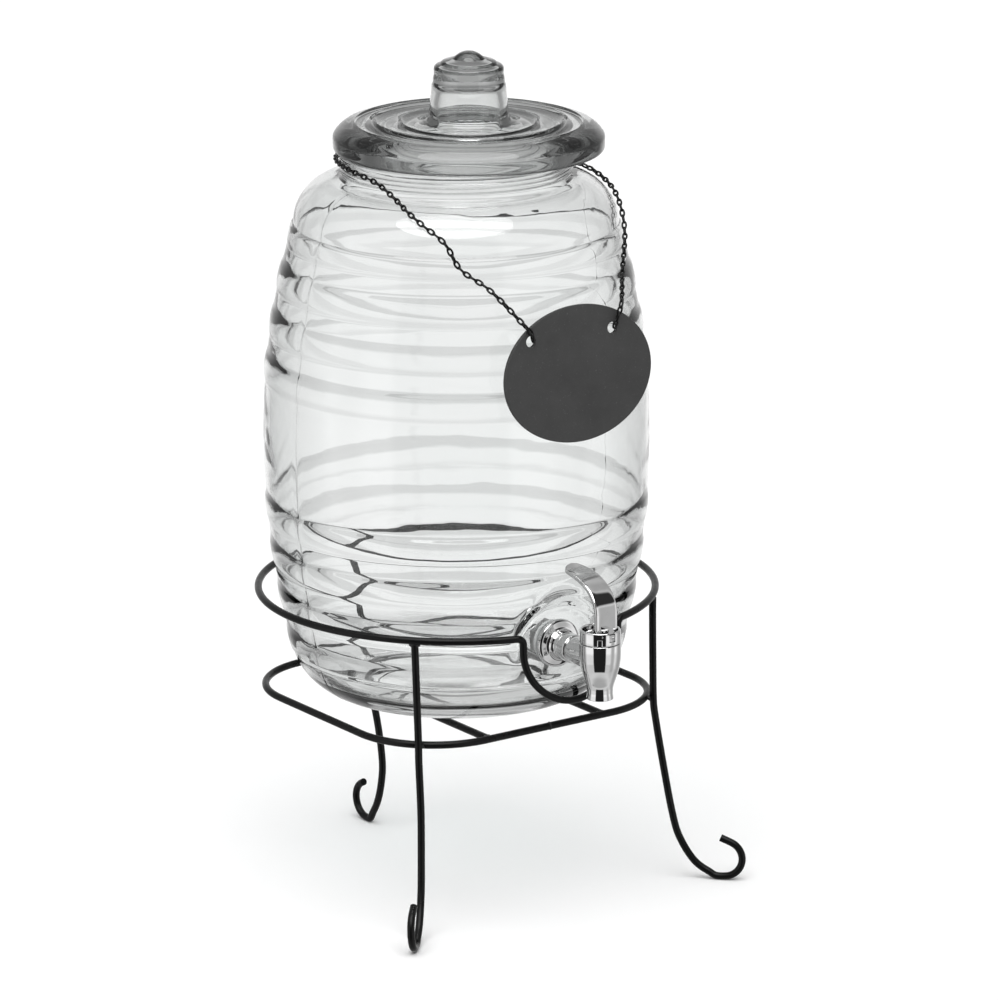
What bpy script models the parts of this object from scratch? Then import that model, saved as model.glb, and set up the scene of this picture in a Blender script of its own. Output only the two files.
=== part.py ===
"""Glass beverage dispenser: a barrel jar with a chrome faucet, standing in a wire stand.

Metres, +Z up. The floor is z = 0 and the faucet points towards -Y. Inside the script every height is
given above the plane of the stand's upper ring, and RING_HEIGHT lifts that plane off the floor.
"""

import math

import bmesh
import bpy
from mathutils import Vector

# ---------------------------------------------------------------- driving dimensions
FIT_GAP = 0.0003            # kept between pieces that touch on the real object

# stand
WIRE_RADIUS = 0.00225
WIRE_REACH = 2.0 * WIRE_RADIUS + FIT_GAP
RING_HEIGHT = 0.179
RING_RADIUS = 0.1209
DIP_HALF_WIDTH = 0.0350     # the upper ring dips under the faucet
DIP_CENTRE_X = 0.0015
DIP_DEPTH = 0.0428
DIP_BEND = 0.0038
FRAME_DROP = 0.0657         # the lower frame hangs this far below the ring
FRAME_HALF_X = 0.1002
FRAME_FRONT = 0.096
FRAME_BACK = 0.098
FRAME_CORNER = 0.0534
CROSSBAR_X = (-0.044, 0.040)
FOOT_FLAT = 0.00025         # worn flat under each foot

# jar
BELLY_Z = 0.097
BELLY_RADIUS = 0.1169
BELLY_CURVE_UP = 1.12       # how fast the barrel narrows above and below its belly, 1/m
BELLY_CURVE_DOWN = 0.92
SHOULDER_Z = 0.227
SHOULDER_CENTRE = 0.0695
SHOULDER_HEIGHT = 0.0275
NECK_RADIUS = 0.0699
NECK_Z = 0.2544
LIP_Z = 0.2705
MOUTH_RADIUS = 0.0650
HEEL_Z = -0.0365
BASE_Z = -0.0630
WALL = 0.0042
FLOOR_THICKNESS = 0.0090
UPPER_BANDS = (0.2229, 0.1955, 0.1676, 0.1400)
LOWER_BANDS = (0.0527, 0.0249, -0.0029, -0.0307)
BAND_HALF = 0.00825
BAND_RISE = 0.0012
JAR_SEGMENTS = 36

# faucet, measured from the jar's axis along the faucet's own axis
SHANK_Z = -0.0113
PAD_FACE = 0.1020           # flat pad on the jar that the faucet seals against
PAD_HALF_X = 0.0265
PAD_HALF_Z = 0.0215
PAD_SLOPE_REACH = 0.020
SHANK_RADIUS = 0.0070
SHANK_BORE = 0.0040
SHANK_HOLE = 0.0076
SHANK_INNER_END = 0.0820
FAUCET_REACH = 0.1470
BONNET_RADIUS = 0.0125
BONNET_TOP = 0.0080
VALVE_BORE = 0.0088
VALVE_SEAT = -0.0195
NOZZLE_BORE = 0.0050
NOZZLE_END = -0.0350
COLLAR_RADIUS = 0.0082      # thicker part of the shank, outside the escutcheon
COLLAR_START = 0.1218
GASKET_RADIUS = 0.0125
GASKET_THICKNESS = 0.0012
WASHER_RADIUS = 0.0128
WASHER_THICKNESS = 0.0022
NUT_RADIUS = 0.0122
NUT_THICKNESS = 0.0065
PIN_OFFSET = 0.0100         # the lever's pin crosses the bonnet's front wall
PIN_Z = 0.0060
PIN_RADIUS = 0.0010
PIN_HOLE = 0.0013
PIN_HALF_LENGTH = 0.0064
SLOT_HALF_X = 0.00215       # slot for the lever's tongue in the bonnet's front wall
SLOT_FLOOR = 0.0024
SLOT_INNER = -0.0095
SLOT_OUTER = -0.0140
BONNET_PLATE = 0.0006       # half thickness of the plate inside the bonnet that holds the spring
HUB_RADIUS = 0.0019
LEVER_WIDTH = 0.0150
LEVER_THICKNESS = 0.0032
LEVER_OFFSET = 0.0054       # middle of the lever's foot, in front of the valve's axis
TONGUE_HALF_X = 0.00185
TOE_INNER_X = 0.0014
TOE_OUTER_X = 0.0027
TOE_TOP = 0.0050
TOE_THICKNESS = 0.0016
TOE_TIP = 0.0006            # the toes end this far past the valve's axis
STEM_RADIUS = 0.0010
STEM_HEAD_RADIUS = 0.0008
STEM_HEAD_HALF = 0.0029
STEM_FOOT_RADIUS = 0.0030
STEM_FOOT_HEIGHT = 0.0008
CUP_RADIUS = 0.0074
CUP_HEIGHT = 0.0032
SPRING_WIRE = 0.00030
SPRING_RADIUS = 0.0048
SPRING_TURNS = 5

# lid
LID_SHIFT = (0.0063, -0.0045)   # the loose lid sits a little off the jar's axis
LID_SEAT_GAP = FIT_GAP

# sign
SIGN_HALF_X = 0.053
SIGN_HALF_Z = 0.0407
SIGN_THICKNESS = 0.0025
SIGN_REACH = 0.1207
SIGN_LEAN = math.radians(4.5)   # its foot hangs away from the jar
SIGN_X = 0.0009
SIGN_DROP = 0.0237          # its middle hangs this far below the holes
SIGN_HOLE_Z = 0.1818
SIGN_HOLE_X = (-0.0324, 0.0264)
SIGN_HOLE_RADIUS = 0.0035
CHAIN_RADIUS = 0.0015
CHAIN_LOOP_Z = 0.2655       # the loop round the neck, just under the lid

BACK_REACH = RING_RADIUS + WIRE_RADIUS
FRONT_REACH = FAUCET_REACH + BONNET_RADIUS
AXIS_Y = (FRONT_REACH - BACK_REACH) / 2.0   # puts the middle of the whole object on the origin

MATERIALS = {
    "black_wire": ((0.015, 0.015, 0.016, 1.0), 0.45, 0.0, 0.0),
    "clear_glass": ((0.92, 0.94, 0.94, 1.0), 0.03, 0.0, 1.0),
    "chrome": ((0.80, 0.80, 0.81, 1.0), 0.08, 1.0, 0.0),
    "black_rubber": ((0.03, 0.03, 0.03, 1.0), 0.7, 0.0, 0.0),
    "clear_silicone": ((0.75, 0.75, 0.73, 1.0), 0.5, 0.0, 0.0),
    "steel": ((0.55, 0.55, 0.56, 1.0), 0.3, 1.0, 0.0),
    "chalkboard": ((0.035, 0.036, 0.038, 1.0), 0.85, 0.0, 0.0),
    "black_chain": ((0.012, 0.012, 0.013, 1.0), 0.4, 0.6, 0.0),
}


# ---------------------------------------------------------------- helpers
def clear_scene():
    for item in list(bpy.data.objects):
        bpy.data.objects.remove(item, do_unlink=True)


def new_collection(name):
    collection = bpy.data.collections.new(name)
    bpy.context.scene.collection.children.link(collection)
    return collection


clear_scene()
PARTS = new_collection("beverage_dispenser")
CUTTERS = new_collection("beverage_dispenser_cutters")


def material(name, node_name):
    """A Principled material of its own for one piece."""
    colour, roughness, metallic, transmission = MATERIALS[name]
    made = bpy.data.materials.new(name + "_" + node_name)
    made.use_nodes = True
    shader = made.node_tree.nodes["Principled BSDF"]
    shader.inputs["Base Color"].default_value = colour
    shader.inputs["Roughness"].default_value = roughness
    shader.inputs["Metallic"].default_value = metallic
    shader.inputs["Transmission Weight"].default_value = transmission
    made.diffuse_color = colour
    return made


def empty(name, parent, location, rotation=(0.0, 0.0, 0.0)):
    marker = bpy.data.objects.new(name, None)
    marker.empty_display_size = 0.02
    PARTS.objects.link(marker)
    marker.parent = parent
    marker.location = location
    marker.rotation_euler = rotation
    return marker


def add_object(name, data, finish, parent, location=(0.0, 0.0, 0.0), rotation=(0.0, 0.0, 0.0)):
    """One named piece of the dispenser."""
    piece = bpy.data.objects.new(name, data)
    PARTS.objects.link(piece)
    data.materials.append(material(finish, name))
    piece.parent = parent
    piece.location = location
    piece.rotation_euler = rotation
    return piece


def add_cutter(name, data, parent, location=(0.0, 0.0, 0.0), rotation=(0.0, 0.0, 0.0)):
    """A helper body that only shapes its neighbours."""
    cutter = bpy.data.objects.new(name, data)
    CUTTERS.objects.link(cutter)
    cutter.hide_render = True
    cutter.display_type = "WIRE"
    cutter.parent = parent
    cutter.location = location
    cutter.rotation_euler = rotation
    return cutter


def outline_mesh(name, points, closed):
    """A chain of edges in the XZ plane, ready to be turned; points are (radius, height)."""
    mesh = bpy.data.meshes.new(name)
    edges = [(i, i + 1) for i in range(len(points) - 1)]
    if closed:
        edges.append((len(points) - 1, 0))
    mesh.from_pydata([(r, 0.0, z) for r, z in points], edges, [])
    return mesh


def turn(piece, segments):
    """Screw modifier that turns the piece's outline once about its own Z axis."""
    screw = piece.modifiers.new("turn", "SCREW")
    screw.steps = segments
    screw.render_steps = segments
    screw.use_merge_vertices = True
    screw.merge_threshold = 0.00001
    screw.use_smooth_shade = True
    return screw


def cylinder_mesh(name, radius, low, high, segments=24):
    """A cylinder along Z from low to high."""
    mesh = bpy.data.meshes.new(name)
    shape = bmesh.new()
    bmesh.ops.create_cone(
        shape,
        cap_ends=True,
        segments=segments,
        radius1=radius,
        radius2=radius,
        depth=high - low,
    )
    bmesh.ops.translate(shape, vec=(0.0, 0.0, (low + high) / 2.0), verts=shape.verts)
    shape.to_mesh(mesh)
    shape.free()
    return mesh


def box_mesh(name, low, high):
    mesh = bpy.data.meshes.new(name)
    shape = bmesh.new()
    bmesh.ops.create_cube(shape, size=1.0)
    size = [b - a for a, b in zip(low, high)]
    middle = [(a + b) / 2.0 for a, b in zip(low, high)]
    bmesh.ops.scale(shape, vec=size, verts=shape.verts)
    bmesh.ops.translate(shape, vec=middle, verts=shape.verts)
    shape.to_mesh(mesh)
    shape.free()
    return mesh


def combine(piece, other, operation):
    """Boolean of piece with other; operation is DIFFERENCE, UNION or INTERSECT."""
    step = piece.modifiers.new(operation.lower() + "_" + other.name, "BOOLEAN")
    step.operation = operation
    step.solver = "EXACT"
    step.object = other


def wire_curve(name, points, radius, closed, sides=2):
    """A round wire along the points."""
    curve = bpy.data.curves.new(name, "CURVE")
    curve.dimensions = "3D"
    curve.bevel_depth = radius
    curve.bevel_resolution = sides
    curve.use_fill_caps = True
    spline = curve.splines.new("POLY")
    spline.points.add(len(points) - 1)
    for knot, point in zip(spline.points, points):
        knot.co = (*point, 1.0)
    spline.use_cyclic_u = closed
    return curve


def arc(centre, radius, start, end, count):
    """Points (u, v) on an arc; angles in degrees, both ends included."""
    steps = [math.radians(start + (end - start) * i / (count - 1)) for i in range(count)]
    return [(centre[0] + radius * math.cos(a), centre[1] + radius * math.sin(a)) for a in steps]


def smooth_path(knots, per_span):
    """Points on a Catmull-Rom curve through the knots."""
    knots = [Vector(k) for k in knots]
    padded = [2 * knots[0] - knots[1]] + knots + [2 * knots[-1] - knots[-2]]
    path = []
    for i in range(1, len(padded) - 2):
        before, a, b, after = padded[i - 1 : i + 3]
        for j in range(per_span):
            t = j / per_span
            path.append(
                0.5
                * (
                    2 * a
                    + (b - before) * t
                    + (2 * before - 5 * a + 4 * b - after) * t**2
                    + (3 * a - before - 3 * b + after) * t**3
                )
            )
    path.append(knots[-1])
    return path


def about_jar(azimuth, radius, height):
    """A point beside the jar; azimuth in degrees from the faucet's side towards +X."""
    a = math.radians(azimuth)
    return (radius * math.sin(a), -radius * math.cos(a), height)


# ---------------------------------------------------------------- frame of the object
floor_origin = empty("dispenser_origin", None, (0.0, AXIS_Y, 0.0))
ring_plane = empty("ring_plane", floor_origin, (0.0, 0.0, RING_HEIGHT))
jar_axis = empty("jar_lift_axis", ring_plane, (0.0, 0.0, 0.0))
lid_axis = empty("lid_lift_axis", jar_axis, (LID_SHIFT[0], LID_SHIFT[1], LIP_Z + LID_SEAT_GAP))
shank_axis = empty("faucet_shank_axis", jar_axis, (0.0, 0.0, SHANK_Z), (math.pi / 2.0, 0.0, 0.0))
valve_axis = empty("valve_lift_axis", jar_axis, (0.0, -FAUCET_REACH, 0.0))
lever_axis = empty("lever_tilt_axis", valve_axis, (0.0, -PIN_OFFSET, PIN_Z))


# ---------------------------------------------------------------- stand
def upper_ring_points():
    """The ring, open over the faucet, where it bends down into a U."""
    half = DIP_HALF_WIDTH
    left_end = math.degrees(math.asin((DIP_CENTRE_X - half - DIP_BEND) / RING_RADIUS))
    right_end = math.degrees(math.asin((DIP_CENTRE_X + half + DIP_BEND) / RING_RADIUS))
    points = []
    for x, y in arc((0.0, 0.0), RING_RADIUS, -90.0 + right_end, 270.0 + left_end, 52):
        points.append((x, y, 0.0))
    left_side = arc((-half - DIP_BEND, -DIP_BEND), DIP_BEND, 78.0, 0.0, 4)
    left_side += arc((0.0, half - DIP_DEPTH), half, 180.0, 270.0, 8)
    right_side = [(-x, z) for x, z in reversed(left_side[:-1])]
    for across, z in left_side + right_side:
        x = across + DIP_CENTRE_X
        points.append((x, -math.sqrt(RING_RADIUS**2 - x**2), z))
    return points


def make_upper_ring():
    curve = wire_curve("stand_upper_ring", upper_ring_points(), WIRE_RADIUS, True)
    add_object("stand_upper_ring", curve, "black_wire", ring_plane)


def make_lower_frame():
    inner_x = FRAME_HALF_X - FRAME_CORNER
    corners = (
        ((inner_x, -FRAME_FRONT + FRAME_CORNER), -90.0),
        ((inner_x, FRAME_BACK - FRAME_CORNER), 0.0),
        ((-inner_x, FRAME_BACK - FRAME_CORNER), 90.0),
        ((-inner_x, -FRAME_FRONT + FRAME_CORNER), 180.0),
    )
    points = []
    for centre, start in corners:
        for x, y in arc(centre, FRAME_CORNER, start, start + 90.0, 9):
            points.append((x, y, 0.0))
    curve = wire_curve("stand_lower_frame", points, WIRE_RADIUS, True)
    add_object("stand_lower_frame", curve, "black_wire", ring_plane, (0.0, 0.0, -FRAME_DROP))


def make_crossbars():
    low = -FRAME_FRONT + WIRE_RADIUS + FIT_GAP
    high = FRAME_BACK - WIRE_RADIUS - FIT_GAP
    for name, x in zip(("stand_crossbar_left", "stand_crossbar_right"), CROSSBAR_X):
        mesh = cylinder_mesh(name, WIRE_RADIUS, -high, -low, 12)
        add_object(
            name, mesh, "black_wire", ring_plane, (x, 0.0, -FRAME_DROP), (math.pi / 2.0, 0.0, 0.0)
        )


def foot_scroll(bottom_radius, bottom_z, kick, bend, end, tail):
    """The curled end of a leg as (radius, height): out along the floor, round, and back over."""
    centre = (bottom_radius + kick, bottom_z + bend)
    curl = arc(centre, bend, -80.0, end, 10)
    along = math.radians(end + 90.0)
    tip = (curl[-1][0] + tail * math.cos(along), curl[-1][1] + tail * math.sin(along))
    return [(bottom_radius, bottom_z)] + curl + [tip]


def make_leg(name, outline, top_direction, foot_direction):
    """One leg from its outline (radius, height); directions in degrees from the faucet's side."""
    drop = outline[0][1] + RING_HEIGHT
    points = []
    for radius, z in outline:
        share = min(1.0, (outline[0][1] - z) / drop)
        points.append(about_jar(top_direction + (foot_direction - top_direction) * share, radius, z))
    source = bpy.data.objects.new(name + "_wire", wire_curve(name + "_wire", points, WIRE_RADIUS, False))
    CUTTERS.objects.link(source)
    source.parent = ring_plane
    bpy.context.view_layer.update()
    graph = bpy.context.evaluated_depsgraph_get()
    mesh = bpy.data.meshes.new_from_object(source.evaluated_get(graph))
    bpy.data.objects.remove(source, do_unlink=True)
    shape = bmesh.new()
    shape.from_mesh(mesh)
    bmesh.ops.remove_doubles(shape, verts=shape.verts, dist=0.00001)
    shape.to_mesh(mesh)
    shape.free()
    leg = add_object(name, mesh, "black_wire", ring_plane)
    floor_box = box_mesh(name + "_floor_cut", (-0.3, -0.3, -0.02), (0.3, 0.3, 0.0))
    combine(leg, add_cutter(name + "_floor_cut", floor_box, floor_origin), "DIFFERENCE")


def leg_outline(knots, scroll):
    upper = smooth_path([(radius, z) for radius, z in knots], 3)[:-1]
    return [tuple(point) for point in upper] + scroll


def make_legs():
    """Two front legs under the ring, outside the lower frame's corners, and a sloping back leg."""
    corner_reach = math.hypot(FRAME_HALF_X - FRAME_CORNER, FRAME_FRONT - FRAME_CORNER) + FRAME_CORNER
    beside_frame = corner_reach + WIRE_REACH
    under_ring = -WIRE_RADIUS - FIT_GAP
    foot_z = -RING_HEIGHT + WIRE_RADIUS - FOOT_FLAT
    for name, foot, top_direction, foot_direction in (
        ("stand_leg_front_left", 0.1560, -47.0, -44.0),
        ("stand_leg_front_right", 0.1615, 45.0, 43.5),
    ):
        knots = [
            (RING_RADIUS - 0.0003, under_ring),
            (RING_RADIUS - 0.0003, -0.0150),
            (beside_frame - 0.0004, -0.0500),
            (beside_frame, -0.0660),
            (beside_frame + 0.0010, -0.0760),
            (foot - 0.0335, -0.1080),
            (foot - 0.0272, -0.1400),
            (foot - 0.0222, -0.1550),
            (foot - 0.0127, -0.1690),
            (foot, foot_z),
        ]
        scroll = foot_scroll(foot, foot_z, 0.0047, 0.0113, 68.0, 0.0070)
        make_leg(name, leg_outline(knots, scroll), top_direction, foot_direction)
    behind_frame = FRAME_BACK + WIRE_REACH + 0.0004
    back_foot = 0.0955
    back_knots = [
        (RING_RADIUS - 0.0003, under_ring),
        (0.1150, -0.0150),
        (behind_frame, -0.0650),
        (0.0876, -0.1080),
        (0.0818, -0.1330),
        (0.0822, -0.1470),
        (0.0868, -0.1630),
        (back_foot, foot_z),
    ]
    back_scroll = foot_scroll(back_foot, foot_z, 0.0042, 0.0112, 62.0, 0.0030)
    make_leg("stand_leg_back", leg_outline(back_knots, back_scroll), 180.0, 180.0)


# ---------------------------------------------------------------- jar
def barrel_radius(z):
    """Outside radius of the plain barrel, from its heel to its shoulder."""
    curve = BELLY_CURVE_UP if z > BELLY_Z else BELLY_CURVE_DOWN
    return BELLY_RADIUS - curve * (z - BELLY_Z) ** 2


def shoulder_points(inset, count):
    """Round shoulder from the barrel up to the neck, moved inwards by inset."""
    across = barrel_radius(SHOULDER_Z) - SHOULDER_CENTRE
    points = []
    for i in range(count):
        a = math.radians(8.0 + 76.0 * i / (count - 1))
        radius = SHOULDER_CENTRE + (across - inset) * math.cos(a)
        points.append((radius, SHOULDER_Z + (SHOULDER_HEIGHT - inset) * math.sin(a)))
    return points


def heel_points(inset, count):
    """Round heel, tangent to the barrel and to the base, moved inwards by inset; top to bottom."""
    lean = math.atan(2.0 * BELLY_CURVE_DOWN * (BELLY_Z - HEEL_Z))
    radius = (HEEL_Z - BASE_Z) / (1.0 - math.sin(lean))
    centre = (barrel_radius(HEEL_Z) - radius * math.cos(lean), HEEL_Z + radius * math.sin(lean))
    return arc(centre, radius - inset, -math.degrees(lean), -90.0, count)


def band_points(centre):
    """A raised round band of glass about the barrel, from its top edge to its bottom edge."""
    shape = ((1.0, 0.0), (0.62, 0.85), (-0.62, 0.85), (-1.0, 0.0))
    points = []
    for along, rise in shape:
        z = centre + along * BAND_HALF
        points.append((barrel_radius(z) + rise * BAND_RISE, z))
    return points


def jar_outside():
    """Outline of the jar's outside, closed on the axis, from the lip down to the base."""
    points = [(0.0, LIP_Z), (NECK_RADIUS - 0.0012, LIP_Z), (NECK_RADIUS, LIP_Z - 0.0012)]
    points += [(NECK_RADIUS, NECK_Z + 0.0015)]
    points += reversed(shoulder_points(0.0, 6))
    for centre in UPPER_BANDS:
        points += band_points(centre)
    points += [(barrel_radius(z), z) for z in (0.115, 0.097, 0.078)]
    for centre in LOWER_BANDS:
        points += [p for p in band_points(centre) if p[1] > HEEL_Z]
    points += heel_points(0.0, 7)
    points += [(0.060, BASE_Z + 0.0018), (0.0, BASE_Z + 0.0030)]
    return points


def jar_cavity():
    """Outline of the hollow inside the jar, open past the lip."""
    inner_neck = [(0.0, LIP_Z + 0.01), (MOUTH_RADIUS, LIP_Z + 0.01), (MOUTH_RADIUS, NECK_Z - 0.001)]
    points = inner_neck + list(reversed(shoulder_points(WALL, 5)))
    for z in (0.205, 0.165, 0.130, 0.097, 0.055, 0.020, -0.010):
        points.append((barrel_radius(z) - WALL, z))
    floor_z = BASE_Z + FLOOR_THICKNESS
    points += [p for p in heel_points(WALL, 8) if p[1] > floor_z + 0.002]
    points += [(0.0740, floor_z), (0.0, floor_z)]
    return points


def pad_cutter(name, face, grow):
    """Cone-sided body outside the faucet pad; it cuts back whatever is proud of the face."""
    mesh = cylinder_mesh(name, 1.0, 0.0, PAD_SLOPE_REACH, 32)
    for vertex in mesh.vertices:
        outer = vertex.co.z > PAD_SLOPE_REACH / 2.0
        extra = grow + (PAD_SLOPE_REACH if outer else 0.0)
        vertex.co.x *= PAD_HALF_X + extra
        vertex.co.y *= PAD_HALF_Z + extra
    return add_cutter(name, mesh, shank_axis, (0.0, 0.0, face))


def make_jar():
    jar = add_object("jar", outline_mesh("jar", jar_outside(), False), "clear_glass", jar_axis)
    turn(jar, JAR_SEGMENTS)
    hollow = add_cutter("jar_hollow", outline_mesh("jar_hollow", jar_cavity(), False), jar_axis)
    turn(hollow, JAR_SEGMENTS)
    combine(hollow, pad_cutter("pad_inside", PAD_FACE - WALL, WALL * 0.5), "DIFFERENCE")
    hole = cylinder_mesh("shank_hole", SHANK_HOLE, PAD_FACE - 0.02, PAD_FACE + 0.02, 24)
    combine(jar, pad_cutter("pad_outside", PAD_FACE, 0.0), "DIFFERENCE")
    combine(jar, hollow, "DIFFERENCE")
    combine(jar, add_cutter("shank_hole", hole, shank_axis), "DIFFERENCE")


# ---------------------------------------------------------------- lid
def lid_outline():
    """Pressed glass lid with a hollow stepped knob; heights are above the lid's seat."""
    knob_foot = LIP_Z + LID_SEAT_GAP
    top = [
        (0.0, 0.3304), (0.0055, 0.3294), (0.0098, 0.3262), (0.0156, 0.3246), (0.0208, 0.3212),
        (0.0212, 0.3156), (0.0221, 0.3100), (0.0234, 0.3007), (0.0243, 0.2921), (0.0293, 0.2874),
        (0.0390, 0.2868), (0.0407, 0.2888), (0.0424, 0.2872), (0.0550, 0.2876), (0.0568, 0.2898),
        (0.0586, 0.2876), (0.0666, 0.2868), (0.0683, 0.2884), (0.0746, 0.2866), (0.0786, 0.2840),
        (0.0812, 0.2804), (0.0816, 0.2785), (0.0816, 0.2732), (0.0804, 0.2712), (0.0776, 0.2708),
    ]
    under = [
        (0.0563, 0.2708), (0.0556, 0.2640), (0.0526, 0.2640), (0.0515, 0.2760),
        (0.0225, 0.2790), (0.0195, 0.2880), (0.0172, 0.3060), (0.0150, 0.3090), (0.0, 0.3100),
    ]
    return [(radius, z - knob_foot) for radius, z in top + under]


def make_lid():
    lid = add_object("lid", outline_mesh("lid", lid_outline(), False), "clear_glass", lid_axis)
    turn(lid, JAR_SEGMENTS)


# ---------------------------------------------------------------- faucet
def turned_part(name, outline, finish, parent, segments, closed=True):
    """A turned piece from an outline that runs down its outer side."""
    piece = add_object(name, outline_mesh(name, outline, closed), finish, parent)
    turn(piece, segments)
    return piece


def washer_outline(inner, outer, low, high):
    return [(inner, high), (outer, high), (outer, low), (inner, low)]


def make_faucet_body():
    outline = [
        (0.0, -FIT_GAP), (BONNET_RADIUS - 0.0004, -FIT_GAP), (BONNET_RADIUS, -0.0009),
        (0.0125, -0.0085), (0.0120, -0.0130), (0.0106, -0.0190), (0.0090, -0.0240),
        (0.0079, -0.0275), (0.0078, -0.0320), (0.0082, NOZZLE_END), (0.0, NOZZLE_END),
    ]
    body = turned_part("faucet_body", outline, "chrome", valve_axis, 32, closed=False)
    shank = add_cutter(
        "shank_rod",
        cylinder_mesh("shank_rod", SHANK_RADIUS, SHANK_INNER_END, FAUCET_REACH - 0.002, 24),
        shank_axis,
    )
    collar_profile = cylinder_mesh("shank_collar", COLLAR_RADIUS, COLLAR_START, FAUCET_REACH - 0.006, 24)
    collar = add_cutter("shank_collar", collar_profile, shank_axis)
    bore = cylinder_mesh("shank_bore", SHANK_BORE, SHANK_INNER_END - 0.01, FAUCET_REACH, 20)
    valve_bore = cylinder_mesh("valve_bore", VALVE_BORE, VALVE_SEAT, 0.01, 24)
    nozzle_bore = cylinder_mesh("nozzle_bore", NOZZLE_BORE, NOZZLE_END - 0.01, VALVE_SEAT + 0.002, 20)
    combine(body, shank, "UNION")
    combine(body, collar, "UNION")
    combine(body, add_cutter("shank_bore", bore, shank_axis), "DIFFERENCE")
    combine(body, add_cutter("valve_bore", valve_bore, valve_axis), "DIFFERENCE")
    combine(body, add_cutter("nozzle_bore", nozzle_bore, valve_axis), "DIFFERENCE")


def make_shank_fittings():
    """Escutcheon and washers along the shank; heights run outwards from the jar's axis."""
    inner = SHANK_RADIUS + FIT_GAP
    seal_low = PAD_FACE + FIT_GAP
    seal_high = seal_low + GASKET_THICKNESS
    gasket = washer_outline(inner, GASKET_RADIUS, seal_low, seal_high)
    turned_part("outer_gasket", gasket, "black_rubber", shank_axis, 24)
    plate = seal_high + FIT_GAP
    outline = [
        (inner, 0.1215), (0.0081, 0.1215), (0.0086, 0.1208), (0.0086, 0.1085), (0.0098, 0.1072),
        (0.0135, 0.1066), (0.0147, 0.1055), (0.0147, plate), (inner, plate),
    ]
    turned_part("escutcheon", outline, "chrome", shank_axis, 32)
    washer_high = PAD_FACE - WALL - FIT_GAP
    washer_low = washer_high - WASHER_THICKNESS
    washer = washer_outline(inner, WASHER_RADIUS, washer_low, washer_high)
    turned_part("inner_washer", washer, "clear_silicone", shank_axis, 24)
    nut_high = washer_low - FIT_GAP
    nut_mesh = cylinder_mesh("shank_nut", NUT_RADIUS, nut_high - NUT_THICKNESS, nut_high, 6)
    nut = add_object("shank_nut", nut_mesh, "steel", shank_axis)
    nut_bore = cylinder_mesh("nut_bore", inner, 0.07, 0.12, 24)
    combine(nut, add_cutter("nut_bore", nut_bore, shank_axis), "DIFFERENCE")


def make_bonnet():
    outline = [
        (0.0108, BONNET_TOP), (BONNET_RADIUS - 0.0005, BONNET_TOP), (BONNET_RADIUS, BONNET_TOP - 0.0006),
        (BONNET_RADIUS, 0.0), (VALVE_BORE - 0.0005, 0.0), (VALVE_BORE - 0.0005, -0.0035),
        (0.0068, -0.0035), (0.0068, -BONNET_PLATE), (0.0022, -BONNET_PLATE), (0.0022, 0.0010),
        (0.0108, 0.0010),
    ]
    bonnet = turned_part("bonnet", outline, "chrome", valve_axis, 32)
    pocket = PIN_HALF_LENGTH + FIT_GAP
    pin_hole = cylinder_mesh("pin_hole", PIN_HOLE, -pocket, pocket, 16)
    across = (0.0, math.pi / 2.0, 0.0)
    combine(bonnet, add_cutter("pin_hole", pin_hole, lever_axis, (0.0, 0.0, 0.0), across), "DIFFERENCE")
    slot_low = (-SLOT_HALF_X, SLOT_OUTER, SLOT_FLOOR)
    slot = box_mesh("front_slot", slot_low, (SLOT_HALF_X, SLOT_INNER, BONNET_TOP + 0.002))
    combine(bonnet, add_cutter("front_slot", slot, valve_axis), "DIFFERENCE")


def lever_path():
    """Middle line of the lever's strap as (y, z) from the pin, from its foot up and back to its tip."""
    foot_y = PIN_OFFSET - LEVER_OFFSET
    foot_z = BONNET_TOP + FIT_GAP - PIN_Z
    knots = [
        (foot_y, foot_z), (foot_y, foot_z + 0.0060), (foot_y + 0.0003, foot_z + 0.0115),
        (foot_y + 0.0018, foot_z + 0.0165), (foot_y + 0.0062, foot_z + 0.0220),
        (foot_y + 0.0122, foot_z + 0.0257), (foot_y + 0.0190, foot_z + 0.0281),
        (foot_y + 0.0255, foot_z + 0.0295), (foot_y + 0.0310, foot_z + 0.0303),
        (foot_y + 0.0350, foot_z + 0.0322),
    ]
    return smooth_path(knots, 3)


def lever_strap_mesh():
    """The lever's middle surface: a strip that follows the path and ends in a round tip."""
    path = lever_path()
    across = 6
    lengths = [0.0]
    for a, b in zip(path, path[1:]):
        lengths.append(lengths[-1] + (b - a).length)
    half = LEVER_WIDTH / 2.0
    mesh = bpy.data.meshes.new("lever_strap")
    shape = bmesh.new()
    rows = []
    for point, length in zip(path, lengths):
        inset = max(0.0, 1.0 - (lengths[-1] - length) / half)
        width = half * math.sqrt(max(0.06, 1.0 - inset**2))
        row = []
        for j in range(across + 1):
            row.append(shape.verts.new((width * (2.0 * j / across - 1.0), point[0], point[1])))
        rows.append(row)
    for low, high in zip(rows, rows[1:]):
        for j in range(across):
            shape.faces.new((low[j], low[j + 1], high[j + 1], high[j]))
    shape.to_mesh(mesh)
    shape.free()
    return mesh


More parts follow.
